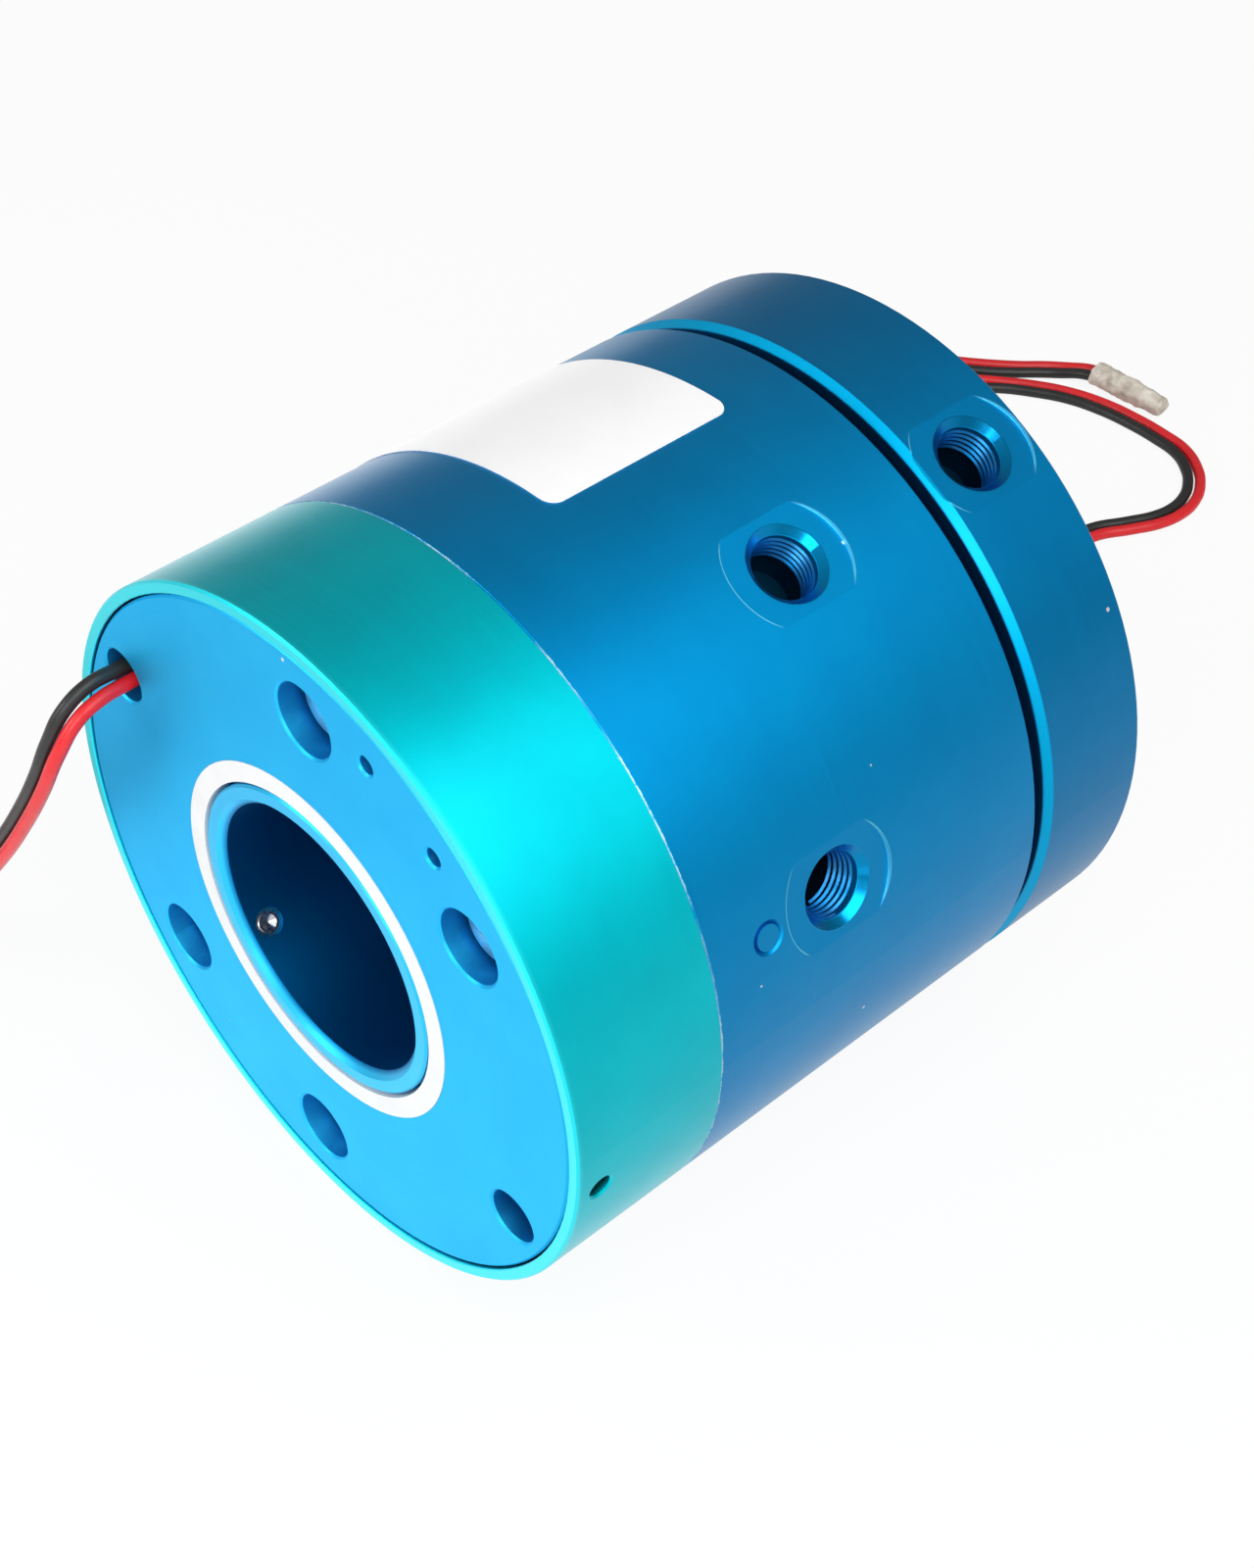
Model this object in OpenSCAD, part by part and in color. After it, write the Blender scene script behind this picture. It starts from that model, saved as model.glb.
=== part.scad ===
// Through-bore rotary union for compressed air, with a two-ring electrical slip ring in its front housing.
// The axis lies along Y. The front face looks to -Y, and the origin is in the middle of the bore.
// Stations are distances from the front rim along the axis. Angles are measured in the front view,
// from +X towards +Z. All sizes are in millimetres.

/* [Outline] */
// Outside radius of the housing, the port body and the rear flange
outer_r = 49.5; // [48.5:0.5:56]
// Length of the slip ring housing
housing_len = 23; // [22.5:0.5:30]
// Wall of the slip ring housing
housing_wall = 1.7; // [1.2:0.1:2.4]
// Length of the port body behind the housing
body_len = 56; // [55.5:0.5:70]
// Length of the port body's spigot inside the housing
spigot_len = 3; // [2:0.1:4]
// Open gap between the port body and the rear flange
flange_gap = 2.4; // [2:0.1:5]
// Thickness of the rear flange
flange_len = 18.1; // [16.4:0.1:24]
// Small bevel on the outside edges
edge_bevel = 0.3; // [0.1:0.1:0.6]
// Bevel on the front edge of the rear flange
flange_bevel = 1; // [0.4:0.1:1.4]
// Angle of the line through the upper ports and the bracket holes
port_line = 61; // [0:1:359]

/* [Shaft] */
// Radius of the through bore
bore_r = 19.05; // [17:0.05:20]
// Bevel at both mouths of the bore
bore_bevel = 1; // [0.2:0.1:1.2]
// Wall of the shaft at the front, under the contact rings
tube_wall = 2.95; // [2.5:0.05:3.4]
// Step up from the front tube to the front bearing seat
seat_step = 3; // [2.6:0.1:3.4]
// Step up from the front bearing seat to the main shaft
shaft_step = 5; // [4.6:0.1:5.4]
// Length of the shaft's end inside the rear flange
register_len = 3; // [2:0.1:4.5]
// Depth of the shaft's front end below the rim of the housing
shaft_recess = 0.1; // [0.1:0.1:0.5]

/* [Shaft set screws] */
// Number of set screws
set_screw_count = 3; // [2:1:3]
// Thread radius of the set screws
set_screw_r = 2; // [1.5:0.1:2.2]
// Radius of the cup point
set_screw_tip_r = 1.45; // [0.8:0.05:1.45]
// Station of the set screws and of the key holes that reach them
key_station = 3.8; // [3.6:0.1:5]
// Angle from the port line round to the first set screw
set_screw_turn = 154; // [130:1:180]
// Depth of the screws' points below the wall of the bore
set_screw_recess = 0.1; // [0.05:0.05:0.4]

/* [Front cover] */
// Depth of the cover's face below the rim of the housing
cover_recess = 0.2; // [0.1:0.1:0.5]
// Depth of the cavity behind the cover's disc, for the contact rings
cavity_len = 9; // [8.6:0.1:9.8]
// Width of the thin gap round the cover
cover_gap = 0.3; // [0.1:0.05:0.5]
// Distance of the cover screws inside the middle of the wall round the front bearing
cover_screw_shift = 1.3; // [0:0.1:2.5]
// Half the angle between two neighbouring cover screws
cover_screw_half = 24.5; // [22:0.5:30]
// Radius of the counterbores
counterbore_r = 5; // [4.6:0.1:5.2]
// Thickness of the cover under the screw heads
counterbore_floor = 11.4; // [6.5:0.1:12]
// Thread radius of the cover screws
cover_screw_r = 2.5; // [2:0.25:2.5]
// Length of the cover screws under the head
cover_screw_len = 20; // [14:1:22]
// Distance of the lead holes and the bracket holes from the edge of the cover
lead_hole_inset = 5.5; // [5.1:0.1:6.5]
// Radius of the lead holes
lead_hole_r = 3.8; // [3:0.1:3.9]
// Radius of the tapped bracket holes
bracket_hole_r = 1.25; // [1:0.05:1.65]
// Half the angle between the two bracket holes
bracket_half = 8.8; // [7:0.1:10]
// Depth of the bracket holes
bracket_depth = 8; // [5:0.5:10]
// Thread radius of the housing screws
housing_screw_r = 1.5; // [1.25:0.05:1.7]
// Length of the housing screws
housing_screw_len = 6; // [4:0.5:8]
// Angle from the port line down to the first housing screw
housing_screw_turn = 68; // [60:1:72]
// Radius of the key holes under the housing screws
key_hole_r = 1.2; // [0.8:0.1:1.2]

/* [Dust ring] */
// Radial width of the white dust ring
dust_ring_width = 2.9; // [2.5:0.1:4]
// Thickness of the dust ring
dust_ring_len = 2.2; // [1.5:0.1:2.2]
// Gap between the dust ring and the shaft
dust_ring_gap = 0.5; // [0.3:0.05:0.6]

/* [Air ports] */
// Radius of the tapped port, at the crests of the thread
port_r = 4.4; // [3.5:0.1:4.8]
// Depth of the tapped port below its spot face
port_depth = 10; // [8:0.5:10.5]
// Width of the bevel at the mouth of a port
port_bevel = 1; // [0.4:0.1:1.2]
// Radius of the spot face
spot_r = 8.75; // [8:0.05:8.75]
// Depth of the spot face at its middle
spot_depth = 0.45; // [0.3:0.05:1.2]
// Distance from the first air channel to the second
channel_pitch = 13.2; // [12.5:0.1:14]
// Angle from the port line down to the first channel's port
port_turn = 44; // [30:1:60]
// Radius of the air passages
passage_r = 2.5; // [1.5:0.1:2.5]
// Wall between the bore and the shaft's long air passages
passage_wall = 2.95; // [2:0.05:3.5]
// Radius of the drillings below the ports
port_drill_r = 1.9; // [1.4:0.1:2]
// Radius of the cross drillings in the shaft
cross_drill_r = 2; // [1.4:0.1:2]
// Distance of the flange's ports from its front face
flange_port_pos = 8.8; // [6.8:0.1:9.2]
// Width of an air channel
channel_w = 4.2; // [3.5:0.1:4.4]
// Depth of an air channel
channel_d = 3.2; // [2:0.1:4]
// Radius of the flush plug
plug_r = 1.75; // [1.2:0.05:2]
// Length of the flush plug
plug_len = 6; // [4:0.5:8]
// Distance from the first air channel forward to the flush plug
plug_pos = 12; // [11:0.1:13]
// Bevel at the mouth of the flush plug's hole
plug_bevel = 0.6; // [0.3:0.1:0.9]

/* [Air seals] */
// Width of a seal groove
seal_w = 3.2; // [2.6:0.1:3.4]
// Depth of a seal groove
seal_d = 4.2; // [3.8:0.1:4.6]
// Thickness of the sliding seal ring
seal_ring_t = 2.5; // [2:0.1:2.8]
// Gap between the seal ring and the shaft
seal_gap = 0.08; // [0.02:0.01:0.1]
// Distance from an outer seal to the nearest air channel
seal_offset = 5.4; // [4.5:0.1:5.8]
// Wall between the rear bearing and the nearest seal
seal_wall = 1.74; // [1.2:0.02:2.4]

/* [Bearings] */
// Radial height of the front bearing
front_bearing_h = 7.5; // [7:0.1:8]
// Width of the front bearing
front_bearing_w = 7; // [6:0.5:8]
// Radius of the front bearing's balls
front_ball_r = 2.1; // [1.8:0.1:2.2]
// Radial height of the rear bearing
rear_bearing_h = 9; // [8.5:0.1:9.5]
// Width of the rear bearing
rear_bearing_w = 10; // [9:0.5:10]
// Radius of the rear bearing's balls
rear_ball_r = 2.75; // [2.4:0.05:2.9]
// Balls in each bearing
ball_count = 24; // [16:1:26]
// Thickness of the circlips
circlip_t = 1.4; // [1:0.1:1.5]
// Depth of the circlip grooves
circlip_d = 1.1; // [0.8:0.1:1.3]
// Width of the body's lip behind its circlip
rear_lip = 1.5; // [1:0.1:2]

/* [Slip ring] */
// Wall of the insulating sleeve under the contact rings
sleeve_wall = 4.4; // [3.8:0.1:4.6]
// Thickness of a contact ring
ring_t = 1.5; // [1:0.1:1.8]
// Width of a contact ring
ring_w = 1.7; // [1.4:0.1:1.8]
// Distance between the contact rings
ring_pitch = 2.5; // [2.4:0.1:2.8]
// Distance from the sleeve's rear end to the nearer contact ring
ring_edge = 1.85; // [1.4:0.05:2]
// Height of the sleeve's ribs above the contact rings
rib_h = 0.5; // [0.2:0.1:1]
// Length of the brushes in front of their block
brush_len = 4.75; // [4.2:0.05:6]
// Width of the brush pockets in the cover
pocket_w = 20; // [16:0.5:22]
// Width of a brush, round the ring
brush_w = 3; // [2:0.1:4]
// Gap between a brush and its ring
brush_gap = 0.25; // [0.2:0.05:0.4]

/* [Rear flange] */
// Wall of the hub that holds the rear bearing on the shaft
hub_wall = 2.7; // [2.4:0.1:3]
// Distance from the wall of the bore to the flange screws
flange_screw_inset = 5.95; // [5.6:0.05:6.4]
// Thread radius of the flange screws
flange_screw_r = 2; // [1.5:0.25:2]
// Length of the flange screws under the head
flange_screw_len = 18; // [16:1:20]
// Radius of the flange screws' counterbores
flange_counterbore_r = 3.9; // [3.7:0.1:4.1]
// Thickness of the flange under the screw heads
flange_screw_floor = 9; // [8:0.1:9.8]
// Radius of the hole that the rear leads pass through
lead_bore_r = 2.2; // [2.1:0.05:2.3]
// Wall between the bore and that hole
lead_bore_wall = 2.15; // [1.8:0.05:2.3]
// Section radius of the O-rings between the shaft and the flange
joint_oring_r = 0.6; // [0.5:0.05:0.7]

/* [Label] */
// Distance from the body's front edge to the label
label_pos = 15.3; // [12:0.1:18]
// Width of the label along the axis
label_w = 29.7; // [20:0.1:34]
// Length of the label round the body, as an angle
label_span = 58; // [30:1:60]
// Angle from the port line up to the label's lower edge
label_turn = 25.5; // [20:0.5:40]
// Thickness of the label
label_t = 0.12; // [0.08:0.01:0.2]
// Corner radius of the label
label_corner = 2; // [1:0.5:4]

/* [Leads] */
// Radius of a lead
lead_r = 1; // [0.8:0.05:1]
// Radius of the wrapped tape at the ends of the rear leads
tape_r = 2.8; // [2.6:0.1:3.6]
// Length of the wrapped tape
tape_len = 17; // [15:1:22]

/* [Hidden] */
$fn = 72;

// Clearances: pieces of one body that fit in each other, faces that stand apart, bodies that pass each other,
// screws in plain holes, balls in their pockets, and the overlap of cuts
fit = 0.03;
apart = 0.1;
pass = 0.3;
screw_play = 0.25;
ball_play = 0.05;
cut = 1;

// Bevels at the mouths of the holes, and the share of a ball's radius that a race covers
mouth = 0.3;
race_cover = 0.7;

// Screw heads and sockets, as multiples of the thread's radius
head_share = 1.7;
head_rise = 2;
socket_share = 0.55;
cap_socket_share = 0.92;

// Stations along the axis
body_start = housing_len;
body_end = body_start + body_len;
flange_start = body_end + flange_gap;
total_len = flange_start + flange_len;
shaft_end = flange_start + register_len;
cover_end = body_start - spigot_len;
cover_back = cover_end - cavity_len;
flange_port = flange_start + flange_port_pos;
front_bearing_start = cover_end + apart;
front_bearing_end = front_bearing_start + front_bearing_w;
rear_bearing_end = body_end - rear_lip - circlip_t - 2 * fit;
rear_bearing_start = rear_bearing_end - rear_bearing_w;
channel_2 = rear_bearing_start - seal_wall - seal_w / 2 - seal_offset;
channel_1 = channel_2 - channel_pitch;
shaft_clip_start = front_bearing_start - circlip_t - fit;
clip_lip = 0.6;
clip_opening = 10;
tap_room = 1;
cage_t = 1;
cage_rim = 0.5;
seat_start = shaft_clip_start - clip_lip;
counterbore_seat = cover_end - counterbore_floor;
flange_screw_seat = shaft_end + flange_screw_floor;

// Radii
housing_inner_r = outer_r - housing_wall;
cover_r = housing_inner_r - cover_gap;
tube_r = bore_r + tube_wall;
seat_r = tube_r + seat_step;
shaft_r = seat_r + shaft_step;
dust_ring_in = tube_r + dust_ring_gap;
dust_ring_out = dust_ring_in + dust_ring_width;
neck_r = tube_r + pass + apart;
front_bearing_r = seat_r + front_bearing_h;
cover_screw_pcr = (front_bearing_r + cover_r) / 2 - cover_screw_shift;
lead_hole_pcr = cover_r - lead_hole_inset;
rear_bearing_r = shaft_r + rear_bearing_h;
bearing_shoulder = 1;
cavity_r = front_bearing_r - bearing_shoulder;
body_bore_r = shaft_r + pass;
seal_groove_r = body_bore_r + seal_d;
hub_r = shaft_r + hub_wall;
ring_in_r = tube_r + sleeve_wall;
ring_out_r = ring_in_r + ring_t;
spot_floor_r = outer_r - spot_depth;
port_floor_r = spot_floor_r - port_depth;
passage_pcr = bore_r + passage_wall + passage_r;
flange_screw_pcr = bore_r + flange_screw_inset;
lead_bore_pcr = bore_r + lead_bore_wall + lead_bore_r;
front_pitch_r = seat_r + front_bearing_h / 2;
rear_pitch_r = shaft_r + rear_bearing_h / 2;
joint_recess_r = passage_r + 2 * joint_oring_r + apart;
joint_recess_d = 2 * joint_oring_r;

// Angles
lead_side = port_line + 90;
spare_side = port_line - 90;
port_1_angle = port_line - port_turn;
cover_screw_angles = [
    for (side = [0, 180], half = [-cover_screw_half, cover_screw_half]) port_line + side + half
];
bracket_angles = [port_line - bracket_half, port_line + bracket_half];
housing_screw_angles = [port_line - housing_screw_turn, port_line - housing_screw_turn + 180];
set_screw_angles = [for (i = [0:set_screw_count - 1]) port_line + set_screw_turn + i * 360 / set_screw_count];
flange_port_angles = [port_line, port_line + 180];
flange_screw_angles = [for (i = [0:3]) port_line + 45 + 90 * i];
lead_bore_angle = port_line + 90;

// Places of the contact rings, the brush block and the seals
cavity_play = 0.8;
sleeve_start = cover_back + cavity_play;
sleeve_end = seat_start - apart;
ring_stations = [sleeve_end - ring_edge - ring_pitch, sleeve_end - ring_edge];
rib_r = ring_out_r + rib_h;
lead_room = 1;
block_start = cover_back + lead_room;
block_end = cover_end - fit;
pocket_r = lead_hole_pcr + lead_hole_r;
block_in = ring_out_r + brush_gap + brush_len;
seal_stations = [channel_1 - seal_offset, channel_1 + channel_pitch / 2, channel_2 + seal_offset];

// Leads: centre lines in the part's own frame, from the brush block or the insulating sleeve outwards
front_red_route = [
    [-36, -37.75, 19.6], [-36, -49.75, 19.6], [-35.9, -53.8, 19.4], [-36.1, -57.3, 17.8],
    [-37, -60.2, 13.5], [-40.2, -61.8, 5.9], [-45.5, -62.7, -3.2], [-52.3, -63.6, -13.4],
    [-60.6, -64.5, -24], [-70.3, -66.3, -34.6], [-80.9, -68.1, -42.9], [-90.7, -69.4, -47.6],
    [-98, -70.2, -48.4]
];
front_black_route = [
    [-37.6, -37.75, 21], [-37.6, -49.75, 21], [-37.7, -54.2, 20.8], [-37.9, -57.9, 18.8],
    [-39.2, -60.2, 14.1], [-42.2, -61.4, 6.9], [-47.3, -62.1, -2], [-54.1, -62.8, -12.2],
    [-62.2, -63.5, -22.8], [-71.7, -64.9, -33.4], [-81.9, -66.3, -41.9], [-91.3, -67.4, -46.8],
    [-100, -68.1, -47.6]
];
rear_red_route = [
    [-20, -31.75, 12.2], [-20, 0, 12.2], [-20, 30, 12.2], [-20, 49.75, 12.2], [-20, 58, 12.1],
    [-20.2, 68, 9.5], [-20.4, 78, 2], [-20.8, 87, -10], [-21.5, 96, -24], [-22.5, 106, -36.6],
    [-23.8, 117.5, -45.2], [-24.6, 130, -48.3], [-23.9, 139.3, -48.5], [-20.9, 145.2, -48.5],
    [-18.5, 150.4, -48.5], [-17.7, 155.2, -48.5], [-18.4, 160, -48.5], [-20.8, 164.7, -48.5],
    [-24.6, 168.6, -48.5], [-29.6, 171.4, -48.5], [-35.4, 172.3, -48.5], [-42, 172.5, -48.5],
    [-49.2, 171.9, -48.5], [-56, 170, -48.5], [-62, 166.9, -48.5], [-67.3, 163.1, -48.5],
    [-72, 159, -48.2], [-74, 155.3, -46.9], [-75.3, 151, -46.1], [-76.7, 146.7, -46.6],
    [-79, 142.7, -47.9], [-84.1, 140.8, -48.5], [-89.7, 143, -48.5], [-91.9, 148.6, -48.5],
    [-89.6, 154, -48.5], [-84.9, 157.8, -48.5], [-79.5, 160.8, -48.5], [-73.8, 165, -48.5],
    [-68.5, 169.7, -48.5], [-65.2, 173.2, -48.5], [-61.6, 176, -48.2], [-58, 177.4, -47.4],
    [-54.4, 177.7, -46.7]
];
rear_black_route = [
    [-21, -31.75, 10.4], [-21, 0, 10.4], [-21, 30, 10.4], [-21, 49.75, 10.4], [-21.2, 58, 10.1],
    [-21.8, 67.5, 7.7], [-22.4, 77, 0.8], [-22.9, 86, -11], [-23.6, 95, -25], [-24.6, 105, -37.6],
    [-26, 116.8, -45.8], [-26.7, 129.4, -48.3], [-25.9, 140.1, -48.5], [-22.8, 146.3, -48.5],
    [-20.6, 151.1, -48.5], [-19.9, 155.2, -48.5], [-20.5, 159.3, -48.5], [-22.6, 163.4, -48.5],
    [-26, 166.9, -48.5], [-30.3, 169.3, -48.5], [-35.5, 170.1, -48.5], [-42, 170.3, -48.5],
    [-48.8, 169.7, -48.5], [-55.2, 168, -48.5], [-60.8, 165, -48.5], [-65.9, 161.4, -48.5],
    [-70, 157, -48.5], [-74, 152.5, -48.5], [-77, 148.5, -48.5], [-80.3, 144.7, -48.5],
    [-84.2, 143.2, -48.5], [-88, 144.7, -48.5], [-89.5, 148.5, -48.5], [-88, 152.4, -48.5],
    [-83.2, 156.1, -48.5], [-77.8, 159.1, -48.5], [-72, 163.2, -48.5], [-68.3, 166.6, -48.5],
    [-64.7, 170.5, -48.5], [-61.4, 173.3, -48.2], [-58, 175, -47.4], [-54.4, 175.5, -46.7]
];
coil_centre = [-100.5, -80.2];
coil_in = 8.9;
coil_out = 13.3;
coil_h = 8.8;
tape_end = [-56, 176.6, -46.7];
tape_turn = 1;
lead_sides = 8;
steep = 0.97;

// Local frame of the turned pieces: z points out of the front face and the rim is at z = 0
module placed() {
    rotate([90, 0, 0]) translate([0, 0, total_len / 2]) children();
}

module ring(from, to, out_r, in_r) {
    translate([0, 0, -to]) difference() {
        cylinder(h = to - from, r = out_r);
        translate([0, 0, -cut]) cylinder(h = to - from + 2 * cut, r = in_r);
    }
}

module bore(from, to, r) {
    translate([0, 0, -to]) cylinder(h = to - from, r = r);
}

module axial_hole(from, to, r, pcr, angle) {
    rotate([0, 0, angle]) translate([pcr, 0, -to]) cylinder(h = to - from, r = r);
}

module radial_hole(station, angle, from_r, to_r, r) {
    rotate([0, 0, angle]) translate([from_r, 0, -station]) rotate([0, 90, 0])
        cylinder(h = to_r - from_r, r = r);
}

// Bevel at the mouth of an axial hole in a face at station face, which looks to the front (1) or the rear (-1)
module mouth_bevel(face, r, width, pcr, angle, side = 1) {
    rotate([0, 0, angle]) translate([pcr, 0, -face]) rotate([side > 0 ? 0 : 180, 0, 0])
        translate([0, 0, -width]) cylinder(h = 2 * width, r1 = r, r2 = r + 2 * width);
}

// Bevel at the mouth of a radial hole in a face at the radius face_r
module radial_bevel(station, angle, face_r, r, width) {
    rotate([0, 0, angle]) translate([face_r - width, 0, -station]) rotate([0, 90, 0])
        cylinder(h = 2 * width, r1 = r, r2 = r + 2 * width);
}

module cap_screw(thread_r, length) {
    head_r = thread_r * head_share;
    head_h = thread_r * head_rise;
    difference() {
        union() {
            translate([0, 0, -length]) cylinder(h = length + head_h / 3, r = thread_r);
            rotate_extrude() polygon([
                [0, 0], [head_r, 0], [head_r, head_h - mouth], [head_r - mouth, head_h], [0, head_h]
            ]);
        }
        translate([0, 0, head_h / 2]) cylinder(h = head_h, r = thread_r * cap_socket_share, $fn = 6);
    }
}

// Spot face, bevelled mouth, tapped bore and the passage below it, drilled towards the axis
module air_port(station, angle, passage_end) {
    radial_hole(station, angle, spot_floor_r, outer_r + cut, spot_r);
    radial_hole(station, angle, port_floor_r, outer_r, port_r);
    radial_bevel(station, angle, spot_floor_r, port_r, port_bevel);
    radial_hole(station, angle, passage_end, port_floor_r + cut, port_drill_r);
}

// Ring of a ball bearing, with its ball groove
module bearing_ring(start, width, out_r, in_r, pitch_r, groove_r) {
    translate([0, 0, -start - width / 2]) rotate_extrude() difference() {
        translate([in_r, -width / 2]) square([out_r - in_r, width]);
        translate([pitch_r, 0]) circle(r = groove_r);
    }
}

module bearing_balls(start, width, pitch_r, ball_r) {
    translate([0, 0, -start - width / 2])
        for (i = [0:ball_count - 1]) rotate([0, 0, i * 360 / ball_count])
            translate([pitch_r, 0, 0]) sphere(r = ball_r);
}

module bearing_cage(start, width, pitch_r, ball_r) {
    pocket = ball_r + 2 * ball_play;
    translate([0, 0, -start - width / 2]) difference() {
        rotate_extrude() translate([pitch_r - cage_t / 2, -pocket - cage_rim])
            square([cage_t, 2 * (pocket + cage_rim)]);
        for (i = [0:ball_count - 1]) rotate([0, 0, i * 360 / ball_count])
            translate([pitch_r - cage_t, 0, 0]) rotate([0, 90, 0]) cylinder(h = 2 * cage_t, r = pocket);
    }
}

module slip_ring_housing() color("darkturquoise") placed() difference() {
    rotate_extrude() polygon([
        [housing_inner_r + edge_bevel / 2, 0], [outer_r - edge_bevel, 0], [outer_r, -edge_bevel],
        [outer_r, -housing_len + edge_bevel / 2], [outer_r - edge_bevel / 2, -housing_len],
        [housing_inner_r, -housing_len], [housing_inner_r, -edge_bevel / 2]
    ]);
    for (a = housing_screw_angles) {
        radial_hole(key_station, a, housing_inner_r - cut, outer_r + cut, housing_screw_r + apart);
        radial_bevel(key_station, a, outer_r, housing_screw_r + apart, mouth);
    }
}

module front_cover() color("deepskyblue") placed() difference() {
    rotate_extrude() polygon([
        [dust_ring_out + fit, -cover_recess], [cover_r - edge_bevel, -cover_recess],
        [cover_r, -cover_recess - edge_bevel], [cover_r, -cover_end], [cavity_r, -cover_end],
        [cavity_r, -cover_back], [neck_r, -cover_back], [neck_r, -shaft_recess - dust_ring_len - fit],
        [dust_ring_out + fit, -shaft_recess - dust_ring_len - fit]
    ]);
    for (a = cover_screw_angles) {
        axial_hole(-cut, counterbore_seat, counterbore_r, cover_screw_pcr, a);
        axial_hole(0, cover_end + cut, cover_screw_r + screw_play, cover_screw_pcr, a);
        mouth_bevel(cover_recess, counterbore_r, mouth, cover_screw_pcr, a);
    }
    for (a = [lead_side, spare_side]) {
        axial_hole(-cut, cover_back + cut, lead_hole_r, lead_hole_pcr, a);
        mouth_bevel(cover_recess, lead_hole_r, mouth, lead_hole_pcr, a);
        rotate([0, 0, a]) translate([neck_r, -pocket_w / 2, -cover_end - cut])
            cube([pocket_r - neck_r, pocket_w, cover_end + cut - cover_back]);
    }
    for (a = bracket_angles) {
        axial_hole(-cut, cover_recess + bracket_depth, bracket_hole_r, lead_hole_pcr, a);
        mouth_bevel(cover_recess, bracket_hole_r, mouth, lead_hole_pcr, a);
    }
    for (a = housing_screw_angles) {
        radial_hole(key_station, a, cover_r - housing_screw_len - pass, cover_r + cut, housing_screw_r + fit);
        radial_hole(key_station, a, tube_r, cover_r, key_hole_r);
    }
}

module cover_screws() color("silver") placed()
    for (a = cover_screw_angles) rotate([0, 0, a]) translate([cover_screw_pcr, 0, -counterbore_seat])
        cap_screw(cover_screw_r, cover_screw_len);

module housing_screws() color("dimgray") placed()
    for (a = housing_screw_angles) rotate([0, 0, a])
        translate([cover_r - apart, 0, -key_station]) rotate([0, -90, 0]) difference() {
            cylinder(h = housing_screw_len, r = housing_screw_r);
            translate([0, 0, -cut])
                cylinder(h = cut + housing_screw_len / 3, r = housing_screw_r * socket_share, $fn = 6);
        }

module dust_ring() color("white") placed()
    ring(shaft_recess, shaft_recess + dust_ring_len, dust_ring_out, dust_ring_in);

module port_body() color("steelblue") placed() difference() {
    rotate_extrude() polygon([
        [body_bore_r, -cover_end], [housing_inner_r - fit, -cover_end], [housing_inner_r - fit, -body_start],
        [outer_r - edge_bevel / 2, -body_start], [outer_r, -body_start - edge_bevel / 2],
        [outer_r, -body_end + edge_bevel], [outer_r - edge_bevel, -body_end], [body_bore_r, -body_end]
    ]);
    bore(cover_end - cut, front_bearing_end, front_bearing_r);
    bore(rear_bearing_start, body_end + cut, rear_bearing_r);
    bore(rear_bearing_end + fit / 2, rear_bearing_end + circlip_t + 3 * fit / 2, rear_bearing_r + circlip_d);
    for (s = [channel_1, channel_2]) bore(s - channel_w / 2, s + channel_w / 2, body_bore_r + channel_d);
    for (s = seal_stations) bore(s - seal_w / 2, s + seal_w / 2, seal_groove_r);
    air_port(channel_1, port_1_angle, body_bore_r);
    air_port(channel_2, port_line, body_bore_r);
    for (a = cover_screw_angles)
        axial_hole(cover_end - cut, counterbore_seat + cover_screw_len + tap_room, cover_screw_r + fit,
            cover_screw_pcr, a);
    radial_hole(channel_1 - plug_pos, port_1_angle, outer_r - plug_len - apart, outer_r + cut, plug_r + fit);
    radial_bevel(channel_1 - plug_pos, port_1_angle, outer_r, plug_r + fit, plug_bevel);
}

module flush_plug() color("cornflowerblue") placed() intersection() {
    radial_hole(channel_1 - plug_pos, port_1_angle, outer_r - plug_len, outer_r + cut, plug_r);
    bore(body_start, body_end, outer_r - fit);
}

module label_outline() {
    half = outer_r * sin(label_span / 2);
    for (x = [-1, 1], y = [-1, 1])
        translate([x * (half - label_corner), y * (label_w / 2 - label_corner)]) circle(r = label_corner);
    square([2 * half, label_w - 2 * label_corner], center = true);
    square([2 * (half - label_corner), label_w], center = true);
}

module label() color("white") placed() intersection() {
    ring(body_start, body_end, outer_r + fit + label_t, outer_r + fit);
    rotate([0, 0, port_line + label_turn + label_span / 2])
        translate([0, 0, -body_start - label_pos - label_w / 2]) rotate([0, 90, 0])
            rotate([0, 0, 90]) linear_extrude(height = 2 * outer_r) label_outline();
}

module front_bearing_outer() color("lightgray") placed()
    bearing_ring(front_bearing_start, front_bearing_w - fit, front_bearing_r - fit,
        front_pitch_r + race_cover * front_ball_r, front_pitch_r, front_ball_r + 3 * ball_play);

module front_bearing_inner() color("lightgray") placed()
    bearing_ring(front_bearing_start, front_bearing_w - fit, front_pitch_r - race_cover * front_ball_r,
        seat_r + fit, front_pitch_r, front_ball_r + ball_play);

module front_bearing_balls() color("gainsboro") placed()
    bearing_balls(front_bearing_start, front_bearing_w - fit, front_pitch_r, front_ball_r);

module front_bearing_cage() color("goldenrod") placed()
    bearing_cage(front_bearing_start, front_bearing_w - fit, front_pitch_r, front_ball_r);

module rear_bearing_outer() color("lightgray") placed()
    bearing_ring(rear_bearing_start + fit, rear_bearing_w - 2 * fit, rear_bearing_r - fit,
        rear_pitch_r + race_cover * rear_ball_r, rear_pitch_r, rear_ball_r + 3 * ball_play);

module rear_bearing_inner() color("lightgray") placed()
    bearing_ring(rear_bearing_start + fit, rear_bearing_w - 2 * fit, rear_pitch_r - race_cover * rear_ball_r,
        shaft_r + fit, rear_pitch_r, rear_ball_r + ball_play);

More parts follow.
